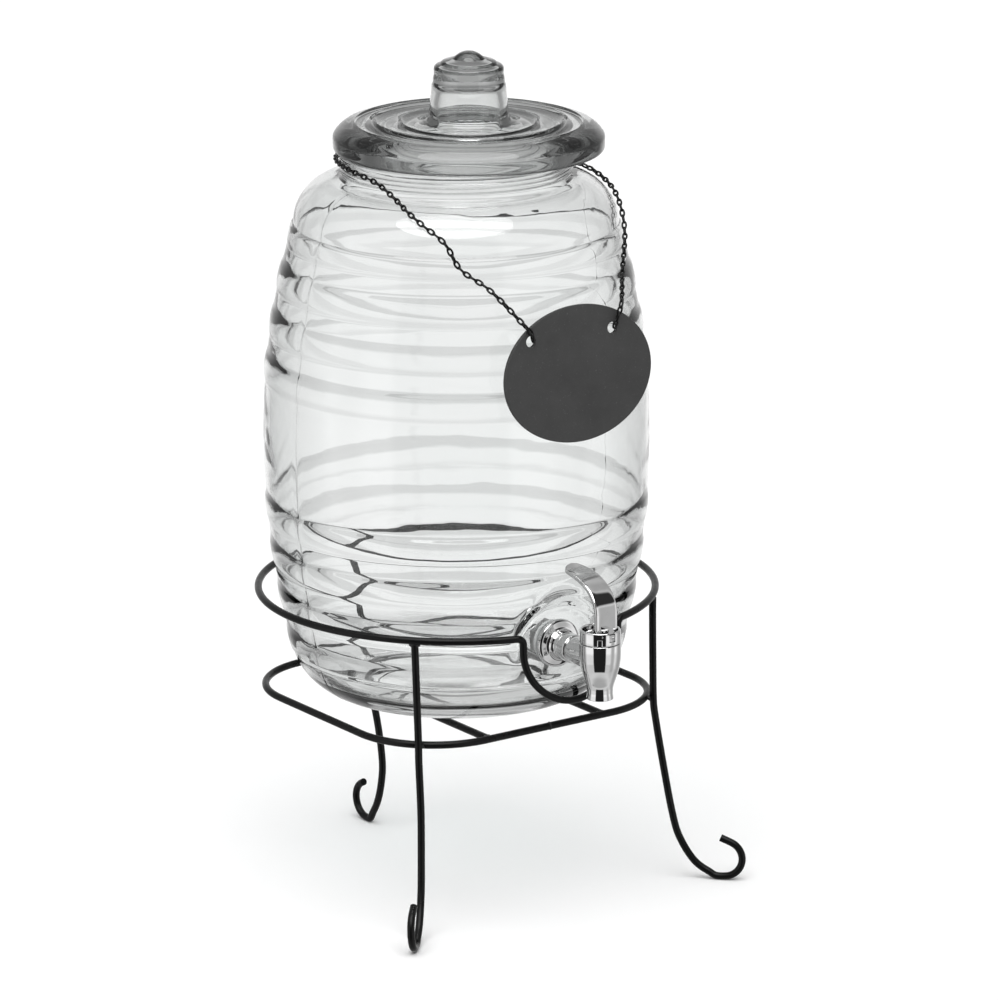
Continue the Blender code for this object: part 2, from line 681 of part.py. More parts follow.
def make_lever():
    """Strap, tongue, hub and the two toes that lift the valve, in one piece about the pin."""
    lever = add_object("lever", lever_strap_mesh(), "chrome", lever_axis)
    thicken = lever.modifiers.new("thickness", "SOLIDIFY")
    thicken.thickness = LEVER_THICKNESS
    thicken.offset = 0.0
    rounding = lever.modifiers.new("rounding", "BEVEL")
    rounding.width = 0.0008
    rounding.segments = 1
    rounding.limit_method = "ANGLE"
    rounding.angle_limit = math.radians(50.0)
    across = (0.0, math.pi / 2.0, 0.0)
    hub_mesh = cylinder_mesh("lever_hub", HUB_RADIUS, -TONGUE_HALF_X, TONGUE_HALF_X, 16)
    combine(lever, add_cutter("lever_hub", hub_mesh, lever_axis, (0.0, 0.0, 0.0), across), "UNION")
    tongue_low = (-TONGUE_HALF_X, -0.0010, -0.0012)
    tongue_high = (TONGUE_HALF_X, PIN_OFFSET - LEVER_OFFSET + 0.0012, BONNET_TOP + 0.0020 - PIN_Z)
    tongue = add_cutter("lever_tongue", box_mesh("lever_tongue", tongue_low, tongue_high), lever_axis)
    combine(lever, tongue, "UNION")
    toe_z = TOE_TOP - PIN_Z
    for side in (-1.0, 1.0):
        low_x, high_x = sorted((side * TOE_INNER_X, side * TOE_OUTER_X))
        toe_low = (low_x, 0.0008, toe_z - TOE_THICKNESS)
        toe_mesh = box_mesh("lever_toe", toe_low, (high_x, PIN_OFFSET + TOE_TIP, toe_z))
        combine(lever, add_cutter("lever_toe", toe_mesh, lever_axis), "UNION")
    bore_mesh = cylinder_mesh("lever_bore", PIN_HOLE, -0.02, 0.02, 16)
    bore = add_cutter("lever_bore", bore_mesh, lever_axis, (0.0, 0.0, 0.0), across)
    combine(lever, bore, "DIFFERENCE")


def make_lever_pin():
    pin = cylinder_mesh("lever_pin", PIN_RADIUS, -PIN_HALF_LENGTH, PIN_HALF_LENGTH, 16)
    add_object("lever_pin", pin, "steel", lever_axis, (0.0, 0.0, 0.0), (0.0, math.pi / 2.0, 0.0))


def make_valve():
    """Stem with a T head over the lever's toes, and the rubber cup that closes the nozzle."""
    cup_low = VALVE_SEAT + FIT_GAP
    cup_high = cup_low + CUP_HEIGHT
    cup = [(0.0, cup_high), (CUP_RADIUS - 0.0008, cup_high), (CUP_RADIUS, cup_low + 0.0008)]
    cup += [(CUP_RADIUS - 0.0014, cup_low), (0.0, cup_low)]
    turned_part("seat_cup", cup, "clear_silicone", valve_axis, 24, closed=False)
    head_z = TOE_TOP + FIT_GAP + STEM_HEAD_RADIUS
    foot_low = cup_high + FIT_GAP
    foot_high = cup_high + STEM_FOOT_HEIGHT
    stem_outline = [(0.0, head_z), (STEM_RADIUS, head_z), (STEM_RADIUS, foot_high)]
    stem_outline += [(STEM_FOOT_RADIUS, foot_high), (STEM_FOOT_RADIUS, foot_low), (0.0, foot_low)]
    stem = turned_part("valve_stem", stem_outline, "steel", valve_axis, 16, closed=False)
    head_mesh = cylinder_mesh("stem_head", STEM_HEAD_RADIUS, -STEM_HEAD_HALF, STEM_HEAD_HALF, 12)
    head = add_cutter("stem_head", head_mesh, valve_axis, (0.0, 0.0, head_z), (0.0, math.pi / 2.0, 0.0))
    combine(stem, head, "UNION")
    return cup_high


def make_spring(cup_high):
    """Coil spring that presses the seat cup down from under the bonnet."""
    per_turn = 12
    low = cup_high + FIT_GAP + SPRING_WIRE
    high = -BONNET_PLATE - FIT_GAP - SPRING_WIRE
    points = []
    for i in range(SPRING_TURNS * per_turn + 1):
        a = 2.0 * math.pi * i / per_turn
        z = low + (high - low) * i / (SPRING_TURNS * per_turn)
        points.append((SPRING_RADIUS * math.cos(a), SPRING_RADIUS * math.sin(a), z))
    curve = wire_curve("closing_spring", points, SPRING_WIRE, False, 1)
    add_object("closing_spring", curve, "steel", valve_axis)


# ---------------------------------------------------------------- sign and chain
def make_sign():
    """Oval chalkboard plate with two holes; its origin lies on the line of the holes."""
    plate = cylinder_mesh("sign", 1.0, -SIGN_THICKNESS / 2.0, SIGN_THICKNESS / 2.0, 56)
    for vertex in plate.vertices:
        vertex.co.x = vertex.co.x * SIGN_HALF_X + SIGN_X
        vertex.co.y = vertex.co.y * SIGN_HALF_Z - SIGN_DROP
    leaning = (math.pi / 2.0 - SIGN_LEAN, 0.0, 0.0)
    place = (0.0, -SIGN_REACH, SIGN_HOLE_Z)
    sign = add_object("sign", plate, "chalkboard", jar_axis, place, leaning)
    for index, x in enumerate(SIGN_HOLE_X):
        hole_mesh = cylinder_mesh("sign_hole", SIGN_HOLE_RADIUS, -0.01, 0.01, 20)
        hole = add_cutter("sign_hole_%d" % index, hole_mesh, jar_axis, (x, *place[1:]), leaning)
        combine(sign, hole, "DIFFERENCE")


def on_shoulder(azimuth, angle):
    """Middle of the chain where it lies on the round shoulder; angle in degrees up from its foot."""
    a = math.radians(angle)
    lift = CHAIN_RADIUS + 3.0 * FIT_GAP
    across = barrel_radius(SHOULDER_Z) - SHOULDER_CENTRE + lift
    height = SHOULDER_Z + (SHOULDER_HEIGHT + lift) * math.sin(a)
    return about_jar(azimuth, SHOULDER_CENTRE + across * math.cos(a), height)


def chain_route():
    """The chain's way from the sign's left hole over the jar to its right hole."""
    front = -SIGN_REACH - SIGN_THICKNESS / 2.0 - CHAIN_RADIUS - FIT_GAP
    round_neck = NECK_RADIUS + CHAIN_RADIUS + 3.0 * FIT_GAP
    on_band = barrel_radius(UPPER_BANDS[0]) + BAND_RISE + CHAIN_RADIUS + 3.0 * FIT_GAP
    left = [
        (SIGN_HOLE_X[0], front, SIGN_HOLE_Z + 0.0006),
        (SIGN_HOLE_X[0] - 0.0011, front, SIGN_HOLE_Z + 0.0055),
        (SIGN_HOLE_X[0] - 0.0044, front + 0.0042, SIGN_HOLE_Z + 0.0110),
        about_jar(-24.9, on_band + 0.0083, 0.2105),
        about_jar(-33.6, on_band, 0.2212),
        on_shoulder(-38.8, 17.0),
        on_shoulder(-46.8, 37.0),
        on_shoulder(-54.0, 54.0),
        on_shoulder(-61.8, 73.0),
        about_jar(-75.7, round_neck, 0.2620),
    ]
    behind = (-95.0, -120.0, -145.0, -170.0, 165.0, 140.0, 115.0)
    loop = [about_jar(azimuth, round_neck, CHAIN_LOOP_Z) for azimuth in behind]
    right = [
        about_jar(101.0, round_neck, 0.2620),
        on_shoulder(88.0, 73.0),
        on_shoulder(78.0, 57.0),
        on_shoulder(69.0, 46.0),
        on_shoulder(58.5, 34.0),
        on_shoulder(50.0, 15.0),
        about_jar(43.0, on_band, 0.2223),
        about_jar(27.5, on_band + 0.0080, 0.2075),
        (SIGN_HOLE_X[1] + 0.0068, front + 0.0018, SIGN_HOLE_Z + 0.0160),
        (SIGN_HOLE_X[1] + 0.0036, front - 0.0002, SIGN_HOLE_Z + 0.0095),
        (SIGN_HOLE_X[1], front, SIGN_HOLE_Z + 0.0006),
    ]
    return left + loop + right


def make_chain():
    """Chain as one plain round body: hole, shoulder, round the neck, shoulder, hole."""
    path = smooth_path(chain_route(), 2)
    curve = wire_curve("sign_chain", [tuple(p) for p in path], CHAIN_RADIUS, False)
    add_object("sign_chain", curve, "black_chain", jar_axis)


# ---------------------------------------------------------------- the whole dispenser
def main():
    make_upper_ring()
    make_lower_frame()
    make_crossbars()
    make_legs()
    make_jar()
    make_lid()
    make_faucet_body()
    make_shank_fittings()
    make_bonnet()
    make_lever()
    make_lever_pin()
    make_spring(make_valve())
    make_sign()
    make_chain()


main()
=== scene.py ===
"""The looks of the glass beverage dispenser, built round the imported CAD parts.

Heights and reaches inside the script are measured from the jar's axis and from the plane of the
stand's upper ring, as in the CAD source; at() turns them into the frame's own coordinates.
"""

import random
from math import asin, atan, copysign, cos, degrees, hypot, pi, radians, sin, sqrt

import bmesh
import bpy
from mathutils import Matrix, Vector


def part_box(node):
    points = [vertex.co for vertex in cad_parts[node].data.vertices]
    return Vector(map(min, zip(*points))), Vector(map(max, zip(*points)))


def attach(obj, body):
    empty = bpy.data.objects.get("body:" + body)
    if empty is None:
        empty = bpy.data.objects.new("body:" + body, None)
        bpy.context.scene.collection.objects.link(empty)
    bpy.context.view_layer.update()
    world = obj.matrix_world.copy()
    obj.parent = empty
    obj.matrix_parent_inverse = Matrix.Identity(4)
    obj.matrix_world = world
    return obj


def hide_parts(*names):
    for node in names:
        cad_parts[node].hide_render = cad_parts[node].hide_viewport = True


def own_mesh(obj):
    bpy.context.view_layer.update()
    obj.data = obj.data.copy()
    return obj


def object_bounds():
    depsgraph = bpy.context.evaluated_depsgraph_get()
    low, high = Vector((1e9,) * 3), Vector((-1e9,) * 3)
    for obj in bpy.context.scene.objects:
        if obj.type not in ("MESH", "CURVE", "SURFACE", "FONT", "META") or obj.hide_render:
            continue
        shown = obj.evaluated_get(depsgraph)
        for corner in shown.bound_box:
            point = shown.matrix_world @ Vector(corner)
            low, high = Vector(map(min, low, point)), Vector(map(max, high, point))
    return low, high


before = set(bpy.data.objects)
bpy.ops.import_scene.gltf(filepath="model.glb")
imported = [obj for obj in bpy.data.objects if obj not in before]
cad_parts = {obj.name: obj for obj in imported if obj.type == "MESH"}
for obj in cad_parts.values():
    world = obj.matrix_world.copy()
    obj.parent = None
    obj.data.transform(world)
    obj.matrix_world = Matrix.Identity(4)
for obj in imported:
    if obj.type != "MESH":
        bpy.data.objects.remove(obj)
CAD_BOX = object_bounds()

# ---- sizes shared with the CAD parts
RING_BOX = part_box("stand_upper_ring")
WIRE_RADIUS = 0.00225
RING_RADIUS = (RING_BOX[1][0] - RING_BOX[0][0]) / 2.0 - WIRE_RADIUS
RING_HEIGHT = RING_BOX[1][2] - WIRE_RADIUS
AXIS_Y = RING_BOX[1][1] - WIRE_RADIUS - RING_RADIUS
FIT_GAP = 0.0003

DIP_HALF_WIDTH = 0.0350
DIP_CENTRE_X = 0.0015
DIP_DEPTH = 0.0428
DIP_BEND = 0.0038
FRAME_DROP = 0.0657
FRAME_HALF_X = 0.1002
FRAME_FRONT = 0.096
FRAME_BACK = 0.098
FRAME_CORNER = 0.0534
CROSSBAR_X = (-0.044, 0.040)

BELLY_Z = 0.097
BELLY_RADIUS = 0.1169
BELLY_CURVE_UP = 1.12
BELLY_CURVE_DOWN = 0.92
SHOULDER_Z = 0.227
SHOULDER_CENTRE = 0.0695
SHOULDER_HEIGHT = 0.0275
NECK_RADIUS = 0.0699
NECK_Z = 0.2544
LIP_Z = 0.2705
MOUTH_RADIUS = 0.0650
HEEL_Z = -0.0365
BASE_Z = -0.0630
WALL = 0.0042
FLOOR_THICKNESS = 0.0090
UPPER_BANDS = (0.2229, 0.1955, 0.1676, 0.1400)
LOWER_BANDS = (0.0527, 0.0249, -0.0029, -0.0307)
BAND_HALF = 0.00825
BAND_RISE = 0.0012

SHANK_Z = -0.0113
PAD_FACE = 0.1020
PAD_HALF_X = 0.0265
PAD_HALF_Z = 0.0215
SHANK_RADIUS = 0.0070
SHANK_HOLE = 0.0076
SHANK_INNER_END = 0.0820
FAUCET_REACH = 0.1470
BONNET_RADIUS = 0.0125
BONNET_TOP = 0.0080
VALVE_BORE = 0.0088
VALVE_SEAT = -0.0195
NOZZLE_BORE = 0.0050
NOZZLE_END = -0.0350
PIN_OFFSET = 0.0100
PIN_Z = 0.0060
LEVER_OFFSET = 0.0054
LEVER_WIDTH = 0.0150
LEVER_THICKNESS = 0.0032
HUB_RADIUS = 0.0019
PIN_HOLE = 0.0013
TONGUE_HALF_X = 0.00185
TOE_INNER_X = 0.0014
TOE_OUTER_X = 0.0027
TOE_TOP = 0.0050
TOE_THICKNESS = 0.0016
TOE_TIP = 0.0006

LID_SHIFT = (0.0063, -0.0045)

SIGN_HALF_X = 0.053
SIGN_HALF_Z = 0.0407
SIGN_THICKNESS = 0.0025
SIGN_REACH = 0.1207
SIGN_LEAN = radians(4.5)   # its foot hangs away from the jar
SIGN_X = 0.0009
SIGN_DROP = 0.0237
SIGN_HOLE_Z = 0.1818
SIGN_HOLE_X = (-0.0324, 0.0264)
SIGN_HOLE_RADIUS = 0.0035
CHAIN_RADIUS = 0.0015
CHAIN_LOOP_Z = 0.2655
LINK_PITCH = 0.0042
LINK_WIRE = 0.00062
LINK_WIDTH = 0.0037

CAMERA_TURN = -35.5         # degrees from the faucet's side

CHANCE = random.Random(7)


# ---- mesh helpers
def at(x, y, z):
    """The frame's coordinates of a point given from the jar's axis and the ring's plane."""
    return Vector((x, y + AXIS_Y, z + RING_HEIGHT))


def about_jar(azimuth, radius, height):
    """A point beside the jar; azimuth in degrees from the faucet's side towards +X."""
    a = radians(azimuth)
    return at(radius * sin(a), -radius * cos(a), height)


def add_object(name, data):
    thing = bpy.data.objects.new(name, data)
    bpy.context.scene.collection.objects.link(thing)
    return thing


def new_object(name, shape, smooth_angle=40.0):
    """An object from a bmesh, smooth except at sharp edges."""
    bmesh.ops.recalc_face_normals(shape, faces=shape.faces)
    mesh = bpy.data.meshes.new(name)
    shape.to_mesh(mesh)
    shape.free()
    mesh.shade_smooth()
    if smooth_angle is not None:
        mesh.set_sharp_from_angle(angle=radians(smooth_angle))
    return add_object(name, mesh)


def finish_piece(piece, finish, body, slot, *nodes):
    """Material, body and the CAD nodes that the piece stands for; the slot argument is not used."""
    piece.data.materials.clear()
    piece.data.materials.append(finish)
    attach(piece, body)
    if nodes:
        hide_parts(*nodes)


def circle(count):
    """Cosine and sine at even steps round a full turn."""
    angles = [2.0 * pi * i / count for i in range(count)]
    return [(cos(a), sin(a)) for a in angles]


def join_rows(shape, rows, closed=False, capped=False):
    """Faces between rows of vertices; a row may be one vertex, the tip of a cone."""
    pairs = list(zip(rows, rows[1:]))
    if closed:
        pairs.append((rows[-1], rows[0]))
    for low, high in pairs:
        count = max(len(low), len(high))
        for i in range(count if count > 1 else 0):
            j = (i + 1) % count
            if len(low) == 1:
                shape.faces.new((low[0], high[j], high[i]))
            elif len(high) == 1:
                shape.faces.new((low[i], low[j], high[0]))
            else:
                shape.faces.new((low[i], low[j], high[j], high[i]))
    if capped:
        shape.faces.new(list(reversed(rows[0])))
        shape.faces.new(rows[-1])


def turned(name, outline, segments, place, closed=True):
    """A turned body from (radius, height) points; place maps (x, y, z) to the frame."""
    shape = bmesh.new()
    rows = []
    for radius, height in outline:
        around = [(0.0, 0.0)] if radius < 1e-7 else circle(segments)
        rows.append([shape.verts.new(place(radius * x, radius * y, height)) for x, y in around])
    join_rows(shape, rows, closed)
    return new_object(name, shape)


def plain_rod(radius, high, low, segments, place):
    """A round rod, to cut a bore with or to join on."""
    return turned("rod", [(0.0, high), (radius, high), (radius, low), (0.0, low)], segments, place, False)


def tube(shape, path, radius, sides=16, closed=False):
    """A round tube along the path, added to the bmesh; its frames turn as little as they can."""
    count = len(path)
    path = [Vector(p) for p in path]
    side = None
    rows = []
    for i, point in enumerate(path):
        if closed:
            ahead, behind = path[(i + 1) % count], path[i - 1]
        else:
            ahead, behind = path[min(i + 1, count - 1)], path[max(i - 1, 0)]
        along = (ahead - behind).normalized()
        if side is None:
            side = along.orthogonal().normalized()
        side = (side - along * side.dot(along)).normalized()
        other = along.cross(side)
        rows.append([shape.verts.new(point + radius * (c * side + s * other)) for c, s in circle(sides)])
    join_rows(shape, rows, capped=not closed)
    if closed:
        first, last = rows[0], rows[-1]
        shift = min(range(sides), key=lambda s: (last[s].co - first[0].co).length)
        for k in range(sides):
            a, b = (shift + k) % sides, (shift + k + 1) % sides
            shape.faces.new((last[a], last[b], first[(k + 1) % sides], first[k]))


def arc(centre, radius, start, end, count):
    """Points (u, v) on an arc; angles in degrees, both ends included."""
    steps = [radians(start + (end - start) * i / (count - 1)) for i in range(count)]
    return [(centre[0] + radius * cos(a), centre[1] + radius * sin(a)) for a in steps]


def smooth_path(knots, per_span):
    """Points on a Catmull-Rom curve through the knots."""
    knots = [Vector(k) for k in knots]
    padded = [2 * knots[0] - knots[1]] + knots + [2 * knots[-1] - knots[-2]]
    path = []
    for i in range(1, len(padded) - 2):
        before, a, b, after = padded[i - 1 : i + 3]
        for j in range(per_span):
            t = j / per_span
            curve = (2 * before - 5 * a + 4 * b - after) * t**2 + (3 * a - before - 3 * b + after) * t**3
            path.append(0.5 * (2 * a + (b - before) * t + curve))
    path.append(knots[-1])
    return path


def even_path(path, step):
    """The same path as points at an even spacing of about step."""
    lengths = [0.0]
    for a, b in zip(path, path[1:]):
        lengths.append(lengths[-1] + (b - a).length)
    count = max(2, round(lengths[-1] / step))
    points = []
    k = 0
    for i in range(count + 1):
        wanted = lengths[-1] * i / count
        while k < len(path) - 2 and lengths[k + 1] < wanted:
            k += 1
        share = (wanted - lengths[k]) / max(1e-9, lengths[k + 1] - lengths[k])
        points.append(path[k].lerp(path[k + 1], min(1.0, share)))
    return points


def rounded(outline, radius, steps=3, closed=True):
    """The outline with each corner cut to a small arc-like curve of about the radius."""
    points = [Vector(p) for p in outline]
    count = len(points)
    result = []
    for i, corner in enumerate(points):
        if not closed and i in (0, count - 1):
            result.append(corner)
            continue
        before, after = points[i - 1], points[(i + 1) % count]
        back, ahead = before - corner, after - corner
        reach = min(radius, 0.45 * back.length, 0.45 * ahead.length)
        start = corner + back.normalized() * reach
        end = corner + ahead.normalized() * reach
        for s in range(steps + 1):
            t = s / steps
            result.append(start.lerp(corner, t).lerp(corner.lerp(end, t), t))
    return [(max(0.0, p.x), p.y) for p in result]


def boolean(piece, other, operation):
    """Cuts or joins with another mesh and applies it; the other object is removed."""
    step = piece.modifiers.new("step", "BOOLEAN")
    step.operation = operation
    step.solver = "EXACT"
    step.object = other
    bpy.context.view_layer.update()
    graph = bpy.context.evaluated_depsgraph_get()
    mesh = bpy.data.meshes.new_from_object(piece.evaluated_get(graph))
    piece.modifiers.clear()
    old = piece.data
    piece.data = mesh
    mesh.name = old.name
    bpy.data.meshes.remove(old)
    bpy.data.objects.remove(other, do_unlink=True)
    mesh.shade_smooth()
    mesh.set_sharp_from_angle(angle=radians(40.0))


def along_shank(x, y, z):
    """Frame coordinates of a point of a body turned about the shank; z runs outwards."""
    return at(x, -z, SHANK_Z + y)


def along_valve(x, y, z):
    return at(x, y - FAUCET_REACH, z)


def along_pin(x, y, z):
    """A point given from the middle of the lever's pin."""
    return at(x, y - FAUCET_REACH - PIN_OFFSET, z + PIN_Z)


def on_sign(x, up, out):
    """A point on the leaning sign: up from the line of its holes, and out from its middle plane."""
    across, rise = sin(SIGN_LEAN), cos(SIGN_LEAN)
    return at(x, -SIGN_REACH + up * across - out * rise, SIGN_HOLE_Z + up * rise + out * across)


def block(name, low, high, place):
    """A plain box between two corners given in one of the frames above."""
    shape = bmesh.new()
    for vertex in bmesh.ops.create_cube(shape, size=1.0)["verts"]:
        vertex.co = place(*[a + (b - a) * (c + 0.5) for a, b, c in zip(low, high, vertex.co)])
    return new_object(name, shape)


# ---- materials
class Nodes:
    """Wires a material's nodes."""

    def __init__(self, name):
        self.material = bpy.data.materials.new(name)
        self.material.use_nodes = True
        self.tree = self.material.node_tree
        self.shader = self.tree.nodes["Principled BSDF"]
        self.output = self.tree.nodes["Material Output"]
        self.place = self.tree.nodes.new("ShaderNodeTexCoord").outputs["Object"]

    def add(self, kind, **values):
        node = self.tree.nodes.new(kind)
        for key, value in values.items():
            if hasattr(node, key):
                setattr(node, key, value)
            else:
                node.inputs[key.replace("_", " ")].default_value = value
        return node

    def link(self, source, target):
        self.tree.links.new(source, target)

    def set(self, **values):
        for key, value in values.items():
            self.shader.inputs[key.replace("_", " ")].default_value = value

    def noise(self, scale, detail=3.0, stretch=None, roughness=0.5):
        node = self.add("ShaderNodeTexNoise", Scale=scale, Detail=detail, Roughness=roughness)
        if stretch is None:
            self.link(self.place, node.inputs["Vector"])
        else:
            mapping = self.add("ShaderNodeMapping", Scale=stretch)
            self.link(self.place, mapping.inputs["Vector"])
            self.link(mapping.outputs["Vector"], node.inputs["Vector"])
        return node.outputs["Fac"]

    def ramp(self, source, stops):
        """A colour ramp; stops are (place, grey) or (place, (r, g, b))."""
        node = self.add("ShaderNodeValToRGB")
        ramp = node.color_ramp
        while len(ramp.elements) < len(stops):
            ramp.elements.new(0.5)
        for element, (place, value) in zip(ramp.elements, stops):
            element.position = place
            colour = (value, value, value) if isinstance(value, float) else value
            element.color = (*colour, 1.0)
        self.link(source, node.inputs["Fac"])
        return node.outputs["Color"]

    def vary(self, socket, noise, *stops):
        """Drives one of the shader's values with noise through a ramp."""
        self.link(self.ramp(self.noise(*noise), stops), self.shader.inputs[socket])

    def bump(self, noise, strength, distance, previous=None):
        node = self.add("ShaderNodeBump", Strength=strength, Distance=distance)
        self.link(self.noise(*noise), node.inputs["Height"])
        if previous is not None:
            self.link(previous, node.inputs["Normal"])
        self.link(node.outputs["Normal"], self.shader.inputs["Normal"])
        return node.outputs["Normal"]


def glass_material(name, ripple, density):
    """Clear pressed glass with slow waves and fine ripples; its shadows stay light."""
    n = Nodes(name)
    n.set(Base_Color=(0.975, 0.985, 0.982, 1.0), Roughness=0.0, IOR=1.5, Transmission_Weight=1.0)
    waves = n.bump((24.0, 1.0, (1.0, 1.0, 1.8)), 0.15 * ripple, 0.004)
    n.bump((60.0, 1.0, (1.0, 1.0, 2.2)), 0.03 * ripple, 0.0012, waves)
    absorb = n.add("ShaderNodeVolumeAbsorption", Color=(0.0, 0.01, 0.006, 1.0), Density=density)
    n.link(absorb.outputs["Volume"], n.output.inputs["Volume"])
    n.vary("Base Color", (14.0, 2.0), (0.3, (0.965, 0.978, 0.974)), (0.75, (0.992, 0.997, 0.995)))
    light = n.add("ShaderNodeLightPath")
    clear = n.add("ShaderNodeBsdfTransparent", Color=(0.90, 0.91, 0.91, 1.0))
    mix = n.add("ShaderNodeMixShader")
    n.link(light.outputs["Is Shadow Ray"], mix.inputs["Fac"])
    n.link(n.shader.outputs["BSDF"], mix.inputs[1])
    n.link(clear.outputs["BSDF"], mix.inputs[2])
    n.link(mix.outputs["Shader"], n.output.inputs["Surface"])
    return n.material


def coat(name, colour, rough, *bumps, **values):
    """A finish whose colour and roughness each follow (noise, stops), with layers of fine bumps."""
    n = Nodes(name)
    n.set(**values)
    n.vary("Base Color", *colour)
    n.vary("Roughness", *rough)
    layer = None
    for noise, strength, distance in bumps:
        layer = n.bump(noise, strength, distance, layer)
    return n.material


def rubber(name, dark, light, roughness):
    colour = ((300.0, 3.0), (0.3, dark), (0.7, light))
    rough = ((700.0, 3.0), (0.3, roughness - 0.08), (0.7, roughness + 0.08))
    return coat(name, colour, rough, ((1800.0, 2.0), 0.25, 0.0002), IOR=1.45)


def chalkboard_material():
    """Matte chalkboard paint: fine tooth, faint cloudy wiping marks and tiny specks."""
    n = Nodes("chalkboard_paint")
    n.set(IOR=1.45, Specular_IOR_Level=0.35)
    cloud = n.ramp(n.noise(38.0, 5.0, None, 0.6), ((0.3, 0.047), (0.72, 0.060)))
    specks = n.ramp(n.noise(1300.0, 1.0), ((0.68, 0.0), (0.78, 0.050)))
    total = n.add("ShaderNodeMix", data_type="RGBA", blend_type="ADD", Factor=1.0)
    n.link(cloud, total.inputs[6])
    n.link(specks, total.inputs[7])
    n.link(total.outputs[2], n.shader.inputs["Base Color"])
    n.vary("Roughness", (80.0, 4.0), (0.3, 0.62), (0.7, 0.78))
    tooth = n.bump((2600.0, 3.0), 0.35, 0.00025)
    n.bump((30.0, 2.0), 0.08, 0.002, tooth)
    return n.material


def floor_material():
    n = Nodes("pale_floor")
    n.set(Roughness=0.9, Specular_IOR_Level=0.1)
    n.vary("Base Color", (3.0, 2.0), (0.3, 0.94), (0.7, 0.96))
    return n.material


GLASS = glass_material("pressed_glass", 1.0, 6.5)
LID_GLASS = glass_material("pressed_glass_lid", 0.5, 17.0)
# satin black coat with a fine orange-peel surface and slightly greyer rubbed spots
WIRE = coat(
    "powder_coat_black",
    ((60.0, 4.0), (0.35, 0.003), (0.7, 0.006)), ((180.0, 3.0), (0.3, 0.26), (0.7, 0.36)),
    ((1400.0, 2.0), 0.18, 0.0002), ((300.0, 2.0), 0.10, 0.0004), IOR=1.5, Specular_IOR_Level=0.22,
)
# the same coat over the rougher surface of a weld bead
WELD = coat(
    "powder_coat_over_weld",
    ((240.0, 4.0), (0.35, 0.006), (0.7, 0.018)), ((500.0, 3.0), (0.3, 0.28), (0.7, 0.5)),
    ((900.0, 3.0), 0.5, 0.0004), IOR=1.5,
)
# the faint waves and smudges of a polished casting
CHROME = coat(
    "polished_chrome",
    ((90.0, 3.0), (0.3, 0.80), (0.7, 0.90)), ((150.0, 4.0), (0.35, 0.035), (0.75, 0.085)),
    ((120.0, 1.0), 0.06, 0.0008), Metallic=1.0, IOR=2.5,
)
# drawn steel with fine marks along its length
STEEL = coat(
    "plain_steel",
    ((220.0, 4.0), (0.3, 0.42), (0.7, 0.58)), ((400.0, 3.0, (1.0, 1.0, 0.2)), (0.3, 0.24), (0.7, 0.38)),
    ((1500.0, 2.0, (1.0, 1.0, 0.1)), 0.15, 0.0002), Metallic=1.0,
)
BLACK_RUBBER = rubber("black_rubber", 0.018, 0.032, 0.6)
SILICONE = rubber("milky_silicone", 0.62, 0.74, 0.45)
CHALKBOARD = chalkboard_material()
CHAIN = coat(
    "blackened_chain",
    ((500.0, 3.0), (0.35, 0.0025), (0.75, 0.006)), ((900.0, 2.0), (0.3, 0.28), (0.7, 0.45)),
    ((2200.0, 2.0), 0.2, 0.0001), Specular_IOR_Level=0.3,
)


# ---- jar
def barrel_radius(z):
    """Outside radius of the plain barrel, from its heel to its shoulder."""
    curve = BELLY_CURVE_UP if z > BELLY_Z else BELLY_CURVE_DOWN
    return BELLY_RADIUS - curve * (z - BELLY_Z) ** 2


def band_rise(z):
    """How far the raised bands stand out at a height: round crowns with a tight root."""
    rise = 0.0
    for centre in UPPER_BANDS + LOWER_BANDS:
        away = abs(z - centre) / BAND_HALF
        if away < 1.0:
            rise = BAND_RISE * 0.98 * (1.0 - away**2) ** 0.62
    return rise


def heel_arc(inset, count):
    lean = atan(2.0 * BELLY_CURVE_DOWN * (BELLY_Z - HEEL_Z))
    radius = (HEEL_Z - BASE_Z) / (1.0 - sin(lean))
    centre = (barrel_radius(HEEL_Z) - radius * cos(lean), HEEL_Z + radius * sin(lean))
    return arc(centre, radius - inset, -degrees(lean), -90.0, count)


def shoulder_arc(inset, count):
    """The shoulder's section from just below its top to its foot."""
    high = 84.0
    across = barrel_radius(SHOULDER_Z) - SHOULDER_CENTRE
    points = []
    for i in range(count):
        a = radians(high - high * i / (count - 1))
        radius = SHOULDER_CENTRE + (across - inset) * cos(a)
        points.append((radius, SHOULDER_Z + (SHOULDER_HEIGHT - inset) * sin(a)))
    return points


